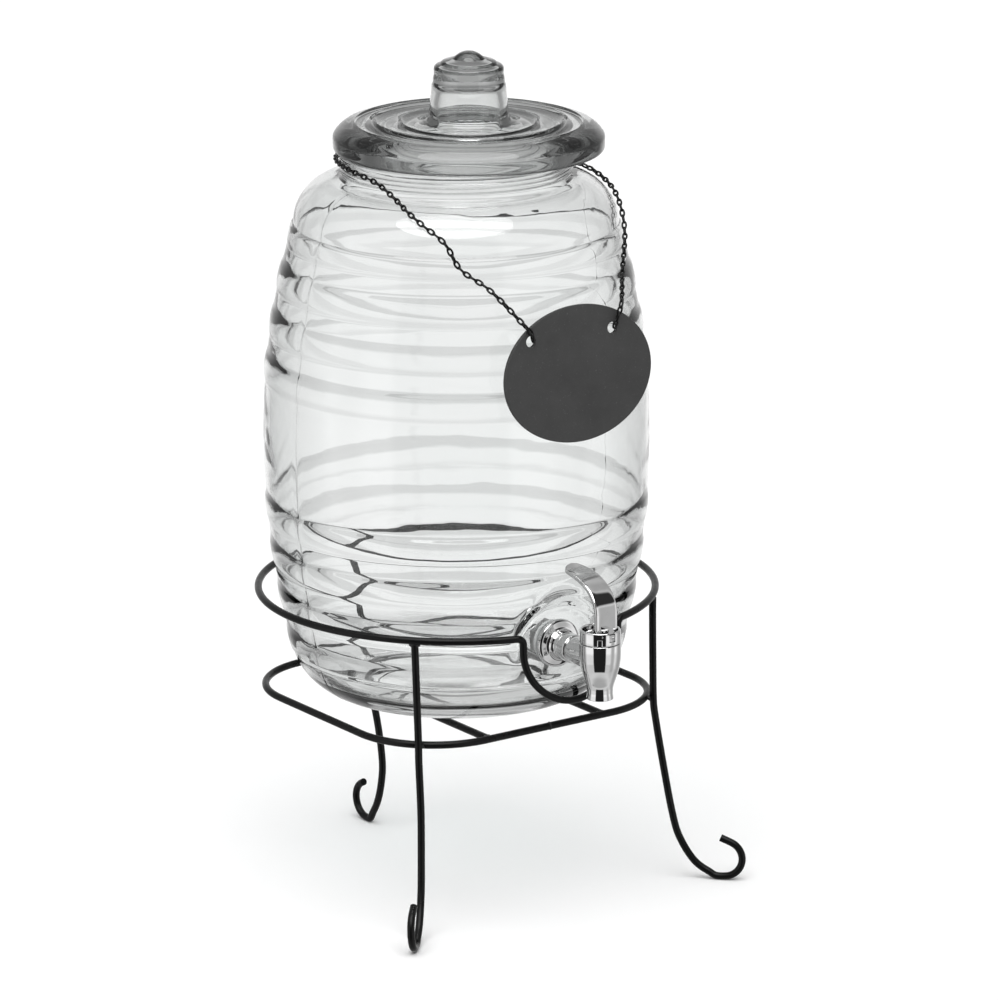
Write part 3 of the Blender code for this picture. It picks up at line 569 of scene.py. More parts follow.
def jar_outline():
    """The wall's section from the middle of the inner floor up, over the lip and down to the base."""
    floor_z = BASE_Z + FLOOR_THICKNESS
    inside = [(0.0, floor_z + 0.0020), (0.020, floor_z + 0.0017), (0.040, floor_z + 0.0008)]
    inside += [(0.056, floor_z + 0.0002), (0.066, floor_z + 0.0006), (0.0745, floor_z + 0.0020)]
    inside += [p for p in reversed(heel_arc(WALL, 18)) if p[1] > floor_z + 0.0050]
    steps = 70
    for i in range(1, steps):
        z = HEEL_Z + (SHOULDER_Z - HEEL_Z) * i / steps
        inside.append((barrel_radius(z) - WALL - 0.25 * band_rise(z), z))
    inside += list(reversed(shoulder_arc(WALL, 12)))
    inside = [p for p in inside if p[0] > MOUTH_RADIUS or p[1] < SHOULDER_Z]
    mouth = [
        (MOUTH_RADIUS + 0.0012, NECK_Z - 0.0022), (MOUTH_RADIUS, NECK_Z + 0.0006),
        (MOUTH_RADIUS + 0.0002, NECK_Z + 0.0060), (MOUTH_RADIUS, LIP_Z - 0.0030),
        (MOUTH_RADIUS + 0.0006, LIP_Z - 0.0008), (MOUTH_RADIUS + 0.0018, LIP_Z - 0.0001),
    ]
    lip = [(NECK_RADIUS - 0.0018, LIP_Z - 0.0001), (NECK_RADIUS - 0.0006, LIP_Z - 0.0007)]
    lip += [(NECK_RADIUS - 0.0001, LIP_Z - 0.0018)]
    for i in range(12):
        drop = 0.0030 + 0.0009 * i
        lip.append((NECK_RADIUS - 0.0004 + 0.0004 * cos(pi * 2.0 * i / 3.0), LIP_Z - drop))
    lip += [(NECK_RADIUS - 0.0004, NECK_Z + 0.0016), (NECK_RADIUS + 0.0004, NECK_Z + 0.0004)]
    outside = shoulder_arc(0.0, 16)
    steps = 190
    for i in range(1, steps):
        z = SHOULDER_Z + (HEEL_Z - SHOULDER_Z) * i / steps
        outside.append((barrel_radius(z) + band_rise(z), z))
    outside += heel_arc(0.0, 18)
    base = [(0.062, BASE_Z + 0.0002), (0.0560, BASE_Z + 0.0006), (0.0545, BASE_Z + 0.0016)]
    base += [(0.0535, BASE_Z + 0.0036), (0.0520, BASE_Z + 0.0046), (0.046, BASE_Z + 0.0051)]
    base += [(0.030, BASE_Z + 0.0056), (0.0, BASE_Z + 0.0058)]
    return inside + mouth + lip + outside + base, len(inside)


def soft_min(a, b, width):
    """The smaller of two lengths, with the corner between them rounded over the width."""
    mix = max(0.0, width - abs(a - b)) / width
    return min(a, b) - mix * mix * width / 4.0


def pad_limit(x, z, face, grow):
    """How far out the wall may reach round the faucet: a flat oval pad and its sloping rim."""
    across = abs(x) / (PAD_HALF_X + grow)
    up = abs(z - SHANK_Z) / (PAD_HALF_Z + grow)
    away = sqrt(across**2 + up**2) - 1.0
    return face + max(0.0, away) * (PAD_HALF_X + PAD_HALF_Z) / 2.0


def jar_columns():
    """Azimuths of the wall's columns: finer round the faucet pad and over the mould's seams."""
    columns = []
    angle = -180.0
    while angle < 180.0 - 1e-6:
        columns.append(angle)
        near_seam = abs(abs(angle + 0.5) - 90.0) < 1.6
        angle += 0.25 if near_seam else 0.9 if abs(angle) < 27.0 else 2.25
    return columns


def seam_rise(azimuth):
    """A fine raised line where the two halves of the mould met."""
    away = abs(abs(azimuth) - 90.0) / 0.55
    return 0.00020 * max(0.0, 1.0 - away) ** 0.7 if away < 1.0 else 0.0


def waviness(azimuth, z, seed):
    """Slow unevenness of the blown wall."""
    a = radians(azimuth)
    wave = sin(3.0 * a + 31.0 * z + seed) + 0.7 * sin(5.0 * a - 52.0 * z + 2.0 * seed)
    wave += 0.4 * sin(8.0 * a + 60.0 * z + 3.0 * seed) + 0.4 * sin(2.0 * a + 110.0 * z)
    return wave


def make_jar():
    outline, inside_count = jar_outline()
    columns = jar_columns()
    shape = bmesh.new()
    rows = []
    for index, (radius, z) in enumerate(outline):
        inner = index < inside_count
        row = []
        for azimuth in columns if radius > 1e-7 else (0.0,):
            a = radians(azimuth)
            on_wall = HEEL_Z - 0.02 < z < SHOULDER_Z + 0.02 and radius > 0.07
            if inner:
                extra = 0.00013 * waviness(azimuth, z, 1.3) if on_wall else 0.0
            else:
                below_neck = z < NECK_Z - 0.001
                extra = seam_rise(azimuth) if on_wall or (below_neck and radius > 0.071) else 0.0
                extra -= 0.00006 * (waviness(azimuth, z, 0.4) + 2.8) if on_wall else 0.0
            x, out = (radius + extra) * sin(a), (radius + extra) * cos(a)
            if out > 0.0 and radius > 0.07 and z < BELLY_Z:
                face, grow, width = (WALL, WALL * 0.5, 0.003) if inner else (0.0001, 0.0, 0.0016)
                out = soft_min(out, pad_limit(x, z, PAD_FACE - face, grow), width)
            row.append(shape.verts.new(at(x, -out, z)))
        rows.append(row)
    join_rows(shape, rows)
    jar = new_object("glass_jar", shape, None)
    boolean(jar, plain_rod(SHANK_HOLE, 0.12, 0.08, 48, along_shank), "DIFFERENCE")
    finish_piece(jar, GLASS, "jar", "clear_glass", "jar")


def make_lid():
    """Pressed lid: stepped hollow knob, dished top with three raised rings, rounded rim."""
    knob = [
        (0.0, 0.3303), (0.0030, 0.3301), (0.0058, 0.3290), (0.0085, 0.3270), (0.0098, 0.3258),
        (0.0112, 0.3258), (0.0124, 0.3252), (0.0150, 0.3247), (0.0164, 0.3240), (0.0172, 0.3226),
        (0.0196, 0.3221), (0.0207, 0.3210), (0.0210, 0.3190), (0.0208, 0.3168), (0.0213, 0.3150),
        (0.0215, 0.3118), (0.0222, 0.3104), (0.0226, 0.3050), (0.0232, 0.3010), (0.0231, 0.2996),
        (0.0236, 0.2960), (0.0244, 0.2914), (0.0262, 0.2889), (0.0293, 0.2873),
    ]
    rings = [
        (0.0340, 0.2867), (0.0386, 0.2867), (0.0397, 0.2874), (0.0407, 0.2886), (0.0416, 0.2876),
        (0.0428, 0.2870), (0.0480, 0.2869), (0.0546, 0.2874), (0.0557, 0.2884), (0.0568, 0.2896),
        (0.0579, 0.2884), (0.0592, 0.2873), (0.0630, 0.2868), (0.0664, 0.2868), (0.0673, 0.2874),
        (0.0683, 0.2882), (0.0693, 0.2876),
    ]
    rim = [
        (0.0716, 0.2873), (0.0746, 0.2863), (0.0774, 0.2845), (0.0798, 0.2819), (0.0808, 0.2806),
        (0.0812, 0.2798), (0.0814, 0.2788), (0.0814, 0.2760), (0.0814, 0.2736), (0.0811, 0.2724),
        (0.0804, 0.2716), (0.0792, 0.2711), (0.0776, 0.2710),
    ]
    under = [
        (0.0700, 0.2710), (0.0590, 0.2710), (0.0566, 0.2707), (0.0561, 0.2680), (0.0556, 0.2648),
        (0.0548, 0.2642), (0.0534, 0.2642), (0.0527, 0.2650), (0.0520, 0.2700), (0.0513, 0.2744),
        (0.0496, 0.2764), (0.0400, 0.2774), (0.0300, 0.2784), (0.0226, 0.2792), (0.0206, 0.2812),
        (0.0196, 0.2880), (0.0186, 0.2960), (0.0182, 0.3000), (0.0174, 0.3040), (0.0166, 0.3072),
        (0.0148, 0.3088), (0.0100, 0.3094), (0.0, 0.3097),
    ]

    def place(x, y, z):
        return at(x + LID_SHIFT[0], y + LID_SHIFT[1], z)

    lid = turned("glass_lid", knob + rings + rim + under, 160, place, False)
    lid.data.shade_smooth()
    finish_piece(lid, LID_GLASS, "lid", "clear_glass", "lid")


# ---- stand
def ring_path():
    half = DIP_HALF_WIDTH
    left_end = degrees(asin((DIP_CENTRE_X - half - DIP_BEND) / RING_RADIUS))
    right_end = degrees(asin((DIP_CENTRE_X + half + DIP_BEND) / RING_RADIUS))
    points = [
        at(x, y, 0.0) for x, y in arc((0.0, 0.0), RING_RADIUS, -90.0 + right_end, 270.0 + left_end, 150)
    ]
    left_side = arc((-half - DIP_BEND, -DIP_BEND), DIP_BEND, 84.0, 0.0, 9)
    left_side += arc((0.0, half - DIP_DEPTH), half, 180.0, 270.0, 28)
    right_side = [(-x, z) for x, z in reversed(left_side[:-1])]
    for across, z in left_side + right_side:
        x = across + DIP_CENTRE_X
        points.append(at(x, -sqrt(RING_RADIUS**2 - x**2), z))
    return points


def frame_path():
    inner_x = FRAME_HALF_X - FRAME_CORNER
    corners = (
        ((inner_x, -FRAME_FRONT + FRAME_CORNER), -90.0),
        ((inner_x, FRAME_BACK - FRAME_CORNER), 0.0),
        ((-inner_x, FRAME_BACK - FRAME_CORNER), 90.0),
        ((-inner_x, -FRAME_FRONT + FRAME_CORNER), 180.0),
    )
    points = []
    for centre, start in corners:
        for x, y in arc(centre, FRAME_CORNER, start, start + 90.0, 26):
            points.append(at(x, y, -FRAME_DROP))
    return points


def foot_scroll(bottom_radius, bottom_z, kick, bend, end, tail):
    centre = (bottom_radius + kick, bottom_z + bend)
    curl = arc(centre, bend, -80.0, end, 10)
    along = radians(end + 90.0)
    tip = (curl[-1][0] + tail * cos(along), curl[-1][1] + tail * sin(along))
    return [(bottom_radius, bottom_z)] + curl + [tip]


def leg_shapes():
    """Name, top and foot direction, and (radius, height) knots of each leg, top to toe."""
    corner_reach = hypot(FRAME_HALF_X - FRAME_CORNER, FRAME_FRONT - FRAME_CORNER) + FRAME_CORNER
    wire_reach = 2.0 * WIRE_RADIUS + FIT_GAP
    beside_frame = corner_reach + wire_reach
    under_ring = -WIRE_RADIUS - FIT_GAP
    foot_z = -RING_HEIGHT + WIRE_RADIUS - 0.00025
    shapes = []
    for side, foot, top_direction, foot_direction in (
        ("front_left", 0.1560, -47.0, -44.0),
        ("front_right", 0.1615, 45.0, 43.5),
    ):
        knots = [
            (RING_RADIUS - 0.0003, under_ring), (RING_RADIUS - 0.0003, -0.0150),
            (beside_frame - 0.0004, -0.0500), (beside_frame, -0.0660), (beside_frame + 0.0010, -0.0760),
            (foot - 0.0335, -0.1080), (foot - 0.0272, -0.1400), (foot - 0.0222, -0.1550),
            (foot - 0.0127, -0.1690), (foot, foot_z),
        ]
        scroll = foot_scroll(foot, foot_z, 0.0047, 0.0113, 68.0, 0.0070)
        shapes.append((side, top_direction, foot_direction, knots, scroll))
    behind_frame = FRAME_BACK + wire_reach + 0.0004
    back_foot = 0.0955
    back_knots = [
        (RING_RADIUS - 0.0003, under_ring), (0.1150, -0.0150), (behind_frame, -0.0650),
        (0.0876, -0.1080), (0.0818, -0.1330), (0.0822, -0.1470), (0.0868, -0.1630), (back_foot, foot_z),
    ]
    back_scroll = foot_scroll(back_foot, foot_z, 0.0042, 0.0112, 62.0, 0.0030)
    shapes.append(("back", 180.0, 180.0, back_knots, back_scroll))
    return shapes


def leg_path(top_direction, foot_direction, knots, scroll):
    upper = smooth_path([Vector((radius, z, 0.0)) for radius, z in knots], 3)[:-1]
    outline = [(p.x, p.y) for p in upper] + scroll
    drop = outline[0][1] + RING_HEIGHT
    points = []
    for radius, z in outline:
        share = min(1.0, (outline[0][1] - z) / drop)
        points.append(about_jar(top_direction + (foot_direction - top_direction) * share, radius, z))
    return smooth_path(points, 3)


def weld_bead(name, places, size):
    """Small uneven lumps of weld metal, one at each (centre, along) place."""
    shape = bmesh.new()
    for centre, along in places:
        turn = Vector((0.0, 0.0, 1.0)).rotation_difference(along).to_matrix()
        phase = CHANCE.uniform(0.0, 6.0)
        for vertex in bmesh.ops.create_icosphere(shape, subdivisions=3, radius=1.0)["verts"]:
            p = vertex.co.copy()
            lump = 1.0 + 0.10 * sin(5.0 * p.x + phase) * cos(4.0 * p.y + phase)
            lump += 0.06 * sin(9.0 * p.z + 2.0 * phase)
            vertex.co = centre + turn @ (Vector([a * b for a, b in zip(p, size)]) * lump)
    finish_piece(new_object(name, shape, None), WELD, "stand", "stand_wire")


def wire_piece(name, path, node, closed=False):
    """One wire of the stand, pressed flat where it meets the floor."""
    shape = bmesh.new()
    tube(shape, path, WIRE_RADIUS, 20, closed)
    for vertex in shape.verts:
        vertex.co.z = max(vertex.co.z, CAD_BOX[0][2])
    finish_piece(new_object(name, shape, 50.0), WIRE, "stand", "stand_wire", node)


def make_stand():
    wire_piece("upper_ring_wire", ring_path(), "stand_upper_ring", True)
    wire_piece("lower_frame_wire", frame_path(), "stand_lower_frame", True)
    low, high = -FRAME_FRONT + WIRE_RADIUS + FIT_GAP, FRAME_BACK - WIRE_RADIUS - FIT_GAP
    joints = []
    for side, x in zip(("left", "right"), CROSSBAR_X):
        path = [at(x, low + (high - low) * i / 40, -FRAME_DROP) for i in range(41)]
        wire_piece("crossbar_wire_" + side, path, "stand_crossbar_" + side)
        for end, inward in ((low, 1.0), (high, -1.0)):
            joints.append((at(x, end - inward * 0.0003, -FRAME_DROP), Vector((1.0, 0.0, 0.0))))
    weld_bead("crossbar_welds", joints, (0.0021, 0.0019, 0.0033))
    seam = [(at(0.0, -FRAME_FRONT, -FRAME_DROP), Vector((1.0, 0.0, 0.0)))]
    weld_bead("frame_butt_weld", seam, (0.0025, 0.0025, 0.0009))
    tops = []
    sides = []
    for side, top_direction, foot_direction, knots, scroll in leg_shapes():
        path = leg_path(top_direction, foot_direction, knots, scroll)
        wire_piece("leg_wire_" + side, even_path(path, 0.0016), "stand_leg_" + side)
        tangent = Vector((cos(radians(top_direction)), sin(radians(top_direction)), 0.0))
        tops.append((about_jar(top_direction, RING_RADIUS - 0.0003, -WIRE_RADIUS - 0.0004), tangent))
        beside = min(path, key=lambda p: abs(p.z - RING_HEIGHT + FRAME_DROP))
        inward = (at(0.0, 0.0, -FRAME_DROP) - beside).normalized()
        inward.z = 0.0
        sides.append((beside + inward * (WIRE_RADIUS + 0.0002), tangent))
    weld_bead("leg_top_welds", tops, (0.0022, 0.0018, 0.0034))
    weld_bead("leg_side_welds", sides, (0.0024, 0.0014, 0.0030))


# ---- faucet
def make_faucet_body():
    outline = rounded(
        [
            (0.0, -FIT_GAP), (BONNET_RADIUS - 0.0002, -FIT_GAP), (BONNET_RADIUS, -0.0006),
            (0.01248, -0.0060), (0.0123, -0.0105), (0.0116, -0.0155), (0.0104, -0.0198),
            (0.0092, -0.0236), (0.0083, -0.0262), (0.0078, -0.0284), (0.0077, -0.0318),
            (0.0081, -0.0345), (0.0080, NOZZLE_END), (0.0, NOZZLE_END),
        ],
        0.0012, 3, False,
    )
    body = turned("faucet_casting", outline, 96, along_valve, False)
    rod_outline = [(0.0, FAUCET_REACH - 0.002), (SHANK_RADIUS, FAUCET_REACH - 0.002)]
    threads = 9
    start, end = 0.1005, SHANK_INNER_END
    for i in range(threads * 2 + 1):
        depth = 0.0 if i % 2 else 0.00045
        rod_outline.append((SHANK_RADIUS - depth, start + (end + 0.0005 - start) * i / (threads * 2)))
    rod_outline += [(SHANK_RADIUS - 0.0008, end), (0.0, end)]
    boolean(body, turned("rod", rod_outline, 64, along_shank, False), "UNION")
    collar = rounded(
        [
            (0.0, FAUCET_REACH - 0.006), (0.0082, FAUCET_REACH - 0.006), (0.0082, 0.1240),
            (0.0080, 0.1222), (0.0076, 0.1218), (0.0, 0.1218),
        ],
        0.0003, 2, False,
    )
    boolean(body, turned("collar", collar, 80, along_shank, False), "UNION")
    for radius, high, low, place in (
        (0.0040, FAUCET_REACH, SHANK_INNER_END - 0.01, along_shank),
        (VALVE_BORE, 0.01, VALVE_SEAT, along_valve),
        (NOZZLE_BORE, VALVE_SEAT + 0.002, NOZZLE_END - 0.01, along_valve),
    ):
        boolean(body, plain_rod(radius, high, low, 48, place), "DIFFERENCE")
    finish_piece(body, CHROME, "jar", "faucet_chrome", "faucet_body")


def make_shank_fittings():
    inner = SHANK_RADIUS + FIT_GAP
    seal_low = PAD_FACE + FIT_GAP
    seal_high = seal_low + 0.0012
    plate = seal_high + FIT_GAP
    outline = rounded(
        [
            (inner, 0.1215), (0.0080, 0.1215), (0.0086, 0.1209), (0.0086, 0.1150), (0.00845, 0.1147),
            (0.0086, 0.1144), (0.0086, 0.1092), (0.0092, 0.1080), (0.0102, 0.1074), (0.0132, 0.1068),
            (0.0144, 0.1062), (0.0147, 0.1050), (0.0147, plate), (inner, plate),
        ],
        0.0005,
    )
    ring = turned("escutcheon_ring", outline, 96, along_shank)
    finish_piece(ring, CHROME, "jar", "faucet_chrome", "escutcheon")
    washer_high = PAD_FACE - WALL - FIT_GAP
    washer_low = washer_high - 0.0022
    for name, high, low, reach, corner, finish, slot, node in (
        ("gasket_ring", seal_high, seal_low, 0.0125, 0.0004, BLACK_RUBBER, "black_rubber", "outer_gasket"),
        ("silicone_washer", washer_high, washer_low, 0.0128, 0.0006, SILICONE, "silicone", "inner_washer"),
    ):
        ring = rounded([(inner, high), (reach, high), (reach, low), (inner, low)], corner)
        finish_piece(turned(name, ring, 72, along_shank), finish, "jar", slot, node)
    nut_high = washer_low - FIT_GAP
    nut_low = nut_high - 0.0065
    shape = bmesh.new()
    rows = []
    half_flat = pi / 6.0
    for height, limit in (
        (nut_high, inner), (nut_high, 0.0104), (nut_high - 0.0007, 0.0122),
        (nut_low + 0.0007, 0.0122), (nut_low, 0.0104), (nut_low, inner),
    ):
        row = []
        for i in range(72):
            a = 2.0 * pi * i / 72
            sector = (a + half_flat) % (2.0 * half_flat) - half_flat
            radius = min(limit, 0.0122 * cos(half_flat) / cos(sector))
            row.append(shape.verts.new(along_shank(radius * cos(a), radius * sin(a), height)))
        rows.append(row)
    join_rows(shape, rows, True)
    finish_piece(new_object("shank_hex_nut", shape, 30.0), STEEL, "jar", "steel", "shank_nut")


def make_bonnet():
    """Screw-on bonnet: rolled top edge, small square windows, slot at the front."""
    outline = rounded(
        [
            (0.0106, BONNET_TOP - 0.0006), (0.0110, BONNET_TOP), (BONNET_RADIUS - 0.0007, BONNET_TOP),
            (BONNET_RADIUS - 0.0002, BONNET_TOP - 0.0010), (BONNET_RADIUS, 0.0004), (0.01225, 0.0),
            (VALVE_BORE - 0.0005, 0.0), (VALVE_BORE - 0.0005, -0.0035), (0.0068, -0.0035),
            (0.0068, -0.0006), (0.0022, -0.0006), (0.0022, 0.0010), (0.0106, 0.0010),
        ],
        0.0005,
    )
    bonnet = turned("faucet_bonnet", outline, 96, along_valve)
    slot = block("slot", (-0.00215, -0.0140, 0.0024), (0.00215, -0.0095, 0.0100), along_valve)
    boolean(bonnet, slot, "DIFFERENCE")
    shape = bmesh.new()
    for azimuth in (-37.0, 53.0, 143.0, 233.0):
        a = radians(azimuth)
        out, side = Vector((sin(a), -cos(a), 0.0)), Vector((cos(a), sin(a), 0.0))
        for v in bmesh.ops.create_cube(shape, size=1.0)["verts"]:
            flare = 1.7 if v.co.x > 0.0 else 1.0
            point = out * (BONNET_RADIUS + v.co.x * 0.0016) + side * (v.co.y * 0.0024 * flare)
            v.co = along_valve(point.x, point.y, 0.0020 + v.co.z * 0.0036 * flare)
    boolean(bonnet, new_object("windows", shape), "DIFFERENCE")
    finish_piece(bonnet, CHROME, "jar", "faucet_chrome", "bonnet")


def lever_path():
    foot_y = PIN_OFFSET - LEVER_OFFSET
    foot_z = BONNET_TOP + FIT_GAP - PIN_Z
    knots = [
        (foot_y, foot_z), (foot_y, foot_z + 0.0060), (foot_y + 0.0003, foot_z + 0.0115),
        (foot_y + 0.0018, foot_z + 0.0165), (foot_y + 0.0062, foot_z + 0.0220),
        (foot_y + 0.0122, foot_z + 0.0257), (foot_y + 0.0190, foot_z + 0.0281),
        (foot_y + 0.0255, foot_z + 0.0295), (foot_y + 0.0310, foot_z + 0.0303),
        (foot_y + 0.0350, foot_z + 0.0322),
    ]
    return smooth_path([Vector((0.0, y, z)) for y, z in knots], 8)


def make_lever():
    """Cast lever: a strap with rounded edges that bends back to a dished thumb tip."""
    path = even_path(lever_path(), 0.0009)
    total = sum((b - a).length for a, b in zip(path, path[1:]))
    squareness = 0.34
    half = LEVER_WIDTH / 2.0
    shape = bmesh.new()
    rows = []
    left = total
    for i, point in enumerate(path):
        if i:
            left -= (point - path[i - 1]).length
        along = (path[min(i + 1, len(path) - 1)] - path[max(i - 1, 0)]).normalized()
        normal = Vector((1.0, 0.0, 0.0)).cross(along)
        inset = max(0.0, 1.0 - left / half)
        width = half * sqrt(max(0.0, 1.0 - inset**2)) + 0.0002
        tip = max(0.0, 1.0 - left / 0.014)
        thick = LEVER_THICKNESS / 2.0 * (1.0 - 0.42 * tip)
        dish = 0.0015 * sin(pi * min(1.0, left / 0.018)) if left < 0.018 else 0.0
        row = []
        for pair in circle(40):
            u, v = (copysign(abs(c) ** squareness, c) if abs(c) > 1e-6 else 0.0 for c in pair)
            lift = thick * v - dish * (1.0 - min(1.0, abs(u)) ** 2)
            row.append(shape.verts.new(point + Vector((width * u, 0.0, 0.0)) + normal * lift))
        rows.append(row)
    join_rows(shape, rows, capped=True)
    for vertex in shape.verts:
        vertex.co = along_pin(*vertex.co)
    lever = new_object("lever_strap", shape, 45.0)

    def across(x, y, z):
        return along_pin(z, x, y)

    tongue_high = (TONGUE_HALF_X, PIN_OFFSET - LEVER_OFFSET + 0.0012, BONNET_TOP + 0.0020 - PIN_Z)
    boolean(lever, block("tongue", (-TONGUE_HALF_X, -0.0010, -0.0012), tongue_high, along_pin), "UNION")
    toe_z = TOE_TOP - PIN_Z
    for side in (-1.0, 1.0):
        low_x, high_x = sorted((side * TOE_INNER_X, side * TOE_OUTER_X))
        toe_low = (low_x, 0.0008, toe_z - TOE_THICKNESS)
        toe = block("toe", toe_low, (high_x, PIN_OFFSET + TOE_TIP, toe_z), along_pin)
        boolean(lever, toe, "UNION")
    for radius, half, operation in ((HUB_RADIUS, TONGUE_HALF_X, "UNION"), (PIN_HOLE, 0.02, "DIFFERENCE")):
        boolean(lever, plain_rod(radius, half, -half, 32, across), operation)
    finish_piece(lever, CHROME, "lever", "faucet_chrome", "lever")


def make_spring():
    """Closing spring under the plate inside the bonnet."""
    low, high, coil, wire, turns = -0.0154, -0.0012, 0.0048, 0.0003, 5
    steps = turns * 28
    path = []
    for i in range(steps + 1):
        a = 2.0 * pi * turns * i / steps
        path.append(along_valve(coil * cos(a), coil * sin(a), low + (high - low) * i / steps))
    shape = bmesh.new()
    tube(shape, path, wire, 8)
    spring = new_object("spring_coil", shape)
    finish_piece(spring, STEEL, "jar", "steel", "closing_spring")
    top = along_valve(0.0, 0.0, high + wire)
    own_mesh(spring)


# ---- sign and chain
def make_sign():
    """Oval plate with rounded edges and two holes."""
    half = SIGN_THICKNESS / 2.0
    bevel = 0.0006
    shape = bmesh.new()
    rows = []
    profile = [(-bevel, -half)]
    profile += [(bevel * (sin(a) - 1.0), -half + bevel * (1.0 - cos(a))) for a in (0.4, 0.8, 1.2)]
    profile += [(0.0, -half + bevel), (0.0, half - bevel)]
    profile += [(r, -z) for r, z in reversed(profile[:4])]
    for inset, out in profile:
        row = []
        for c, s in circle(128):
            x = SIGN_X + (SIGN_HALF_X + inset) * c
            up = (SIGN_HALF_Z + inset) * s - SIGN_DROP
            row.append(shape.verts.new(on_sign(x, up, out)))
        rows.append(row)
    join_rows(shape, rows, capped=True)
    sign = new_object("sign_plate", shape, 35.0)
    for x in SIGN_HOLE_X:
        hole = plain_rod(SIGN_HOLE_RADIUS, 0.01, -0.01, 40, lambda a, b, c, x=x: on_sign(x + a, b, c))
        boolean(sign, hole, "DIFFERENCE")
    finish_piece(sign, CHALKBOARD, "sign", "chalkboard", "sign")


def on_shoulder(azimuth, angle):
    """Middle of the chain where it lies on the round shoulder; angle in degrees up from its foot."""
    a = radians(angle)
    lift = CHAIN_RADIUS + 3.0 * FIT_GAP
    across = barrel_radius(SHOULDER_Z) - SHOULDER_CENTRE + lift
    height = SHOULDER_Z + (SHOULDER_HEIGHT + lift) * sin(a)
    return about_jar(azimuth, SHOULDER_CENTRE + across * cos(a), height)


def chain_route():
    """The chain's way from the sign's left hole over the jar to its right hole."""
    front = -SIGN_REACH - SIGN_THICKNESS / 2.0 - CHAIN_RADIUS - FIT_GAP
    round_neck = NECK_RADIUS + LINK_WIDTH / 2.0
    on_band = barrel_radius(UPPER_BANDS[0]) + BAND_RISE + CHAIN_RADIUS + 3.0 * FIT_GAP
    left = [
        at(SIGN_HOLE_X[0], front, SIGN_HOLE_Z + 0.0006),
        at(SIGN_HOLE_X[0] - 0.0011, front, SIGN_HOLE_Z + 0.0055),
        at(SIGN_HOLE_X[0] - 0.0044, front + 0.0042, SIGN_HOLE_Z + 0.0110),
        about_jar(-24.9, on_band + 0.0083, 0.2105),
        about_jar(-33.6, on_band, 0.2212),
        on_shoulder(-38.8, 17.0), on_shoulder(-46.8, 37.0),
        on_shoulder(-54.0, 54.0), on_shoulder(-61.8, 73.0),
        about_jar(-75.7, round_neck, 0.2620),
    ]
    behind = (-95.0, -120.0, -145.0, -170.0, 165.0, 140.0, 115.0)
    loop = [about_jar(azimuth, round_neck, CHAIN_LOOP_Z) for azimuth in behind]
    right = [
        about_jar(101.0, round_neck, 0.2620),
        on_shoulder(88.0, 73.0), on_shoulder(78.0, 57.0), on_shoulder(69.0, 46.0),
        on_shoulder(58.5, 34.0), on_shoulder(50.0, 15.0),
        about_jar(43.0, on_band, 0.2223),
        about_jar(27.5, on_band + 0.0080, 0.2075),
        at(SIGN_HOLE_X[1] + 0.0068, front + 0.0018, SIGN_HOLE_Z + 0.0160),
        at(SIGN_HOLE_X[1] + 0.0036, front - 0.0002, SIGN_HOLE_Z + 0.0095),
        at(SIGN_HOLE_X[1], front, SIGN_HOLE_Z + 0.0006),
    ]
    return left + loop + right


def add_link(shape, centre, along, flat):
    """One oval wire link; along is its long way and flat the normal of its plane."""
    across = flat.cross(along).normalized()
    long_half = LINK_PITCH / 2.0 + LINK_WIRE * 0.75
    wide_half = LINK_WIDTH / 2.0 - LINK_WIRE
    path = [centre + along * (long_half * c) + across * (wide_half * s) for c, s in circle(14)]
    tube(shape, path, LINK_WIRE, 7, True)


def make_chain():
    """Cable chain of oval links, each turned a quarter against the next."""
    path = even_path(smooth_path(chain_route(), 24), LINK_PITCH)
    shape = bmesh.new()
    for i, (a, b) in enumerate(zip(path, path[1:])):
        along = (b - a).normalized()
        centre = (a + b) / 2.0
        outward = centre - at(0.0, 0.0, centre.z - RING_HEIGHT)
        outward = (outward - along * outward.dot(along)).normalized()
        turn = radians(20.0 if i % 2 else -70.0) + radians(CHANCE.uniform(-9.0, 9.0))
        flat = Matrix.Rotation(turn, 3, along) @ outward
        add_link(shape, centre, along, flat)
    finish_piece(new_object("sign_chain_links", shape, None), CHAIN, "jar", "black_chain", "sign_chain")


def paint_inner_parts():
    """CAD nodes that stay as they are, each with its real finish."""
    for node, finish in (("lever_pin", STEEL), ("valve_stem", STEEL), ("seat_cup", SILICONE)):
        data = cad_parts[node].data
        data.materials.clear()
        data.materials.append(finish)


# ---- floor, light and camera
def make_floor():
    shape = bmesh.new()
    bmesh.ops.create_circle(shape, cap_ends=True, segments=64, radius=6.0)
    floor = new_object("floor", shape)
    floor.location.z = CAD_BOX[0][2] - 0.0002
    floor.data.materials.append(floor_material())
    floor.visible_glossy = False
    floor.visible_transmission = False


def make_lights():
    """One soft overhead sun, wide enough to leave only a pale shadow on the floor."""
    data = bpy.data.lights.new("overhead", "SUN")
    data.energy = 2.4
    data.angle = radians(60.0)
    add_object("overhead", data).rotation_euler = (radians(18.0), radians(-14.0), 0.0)


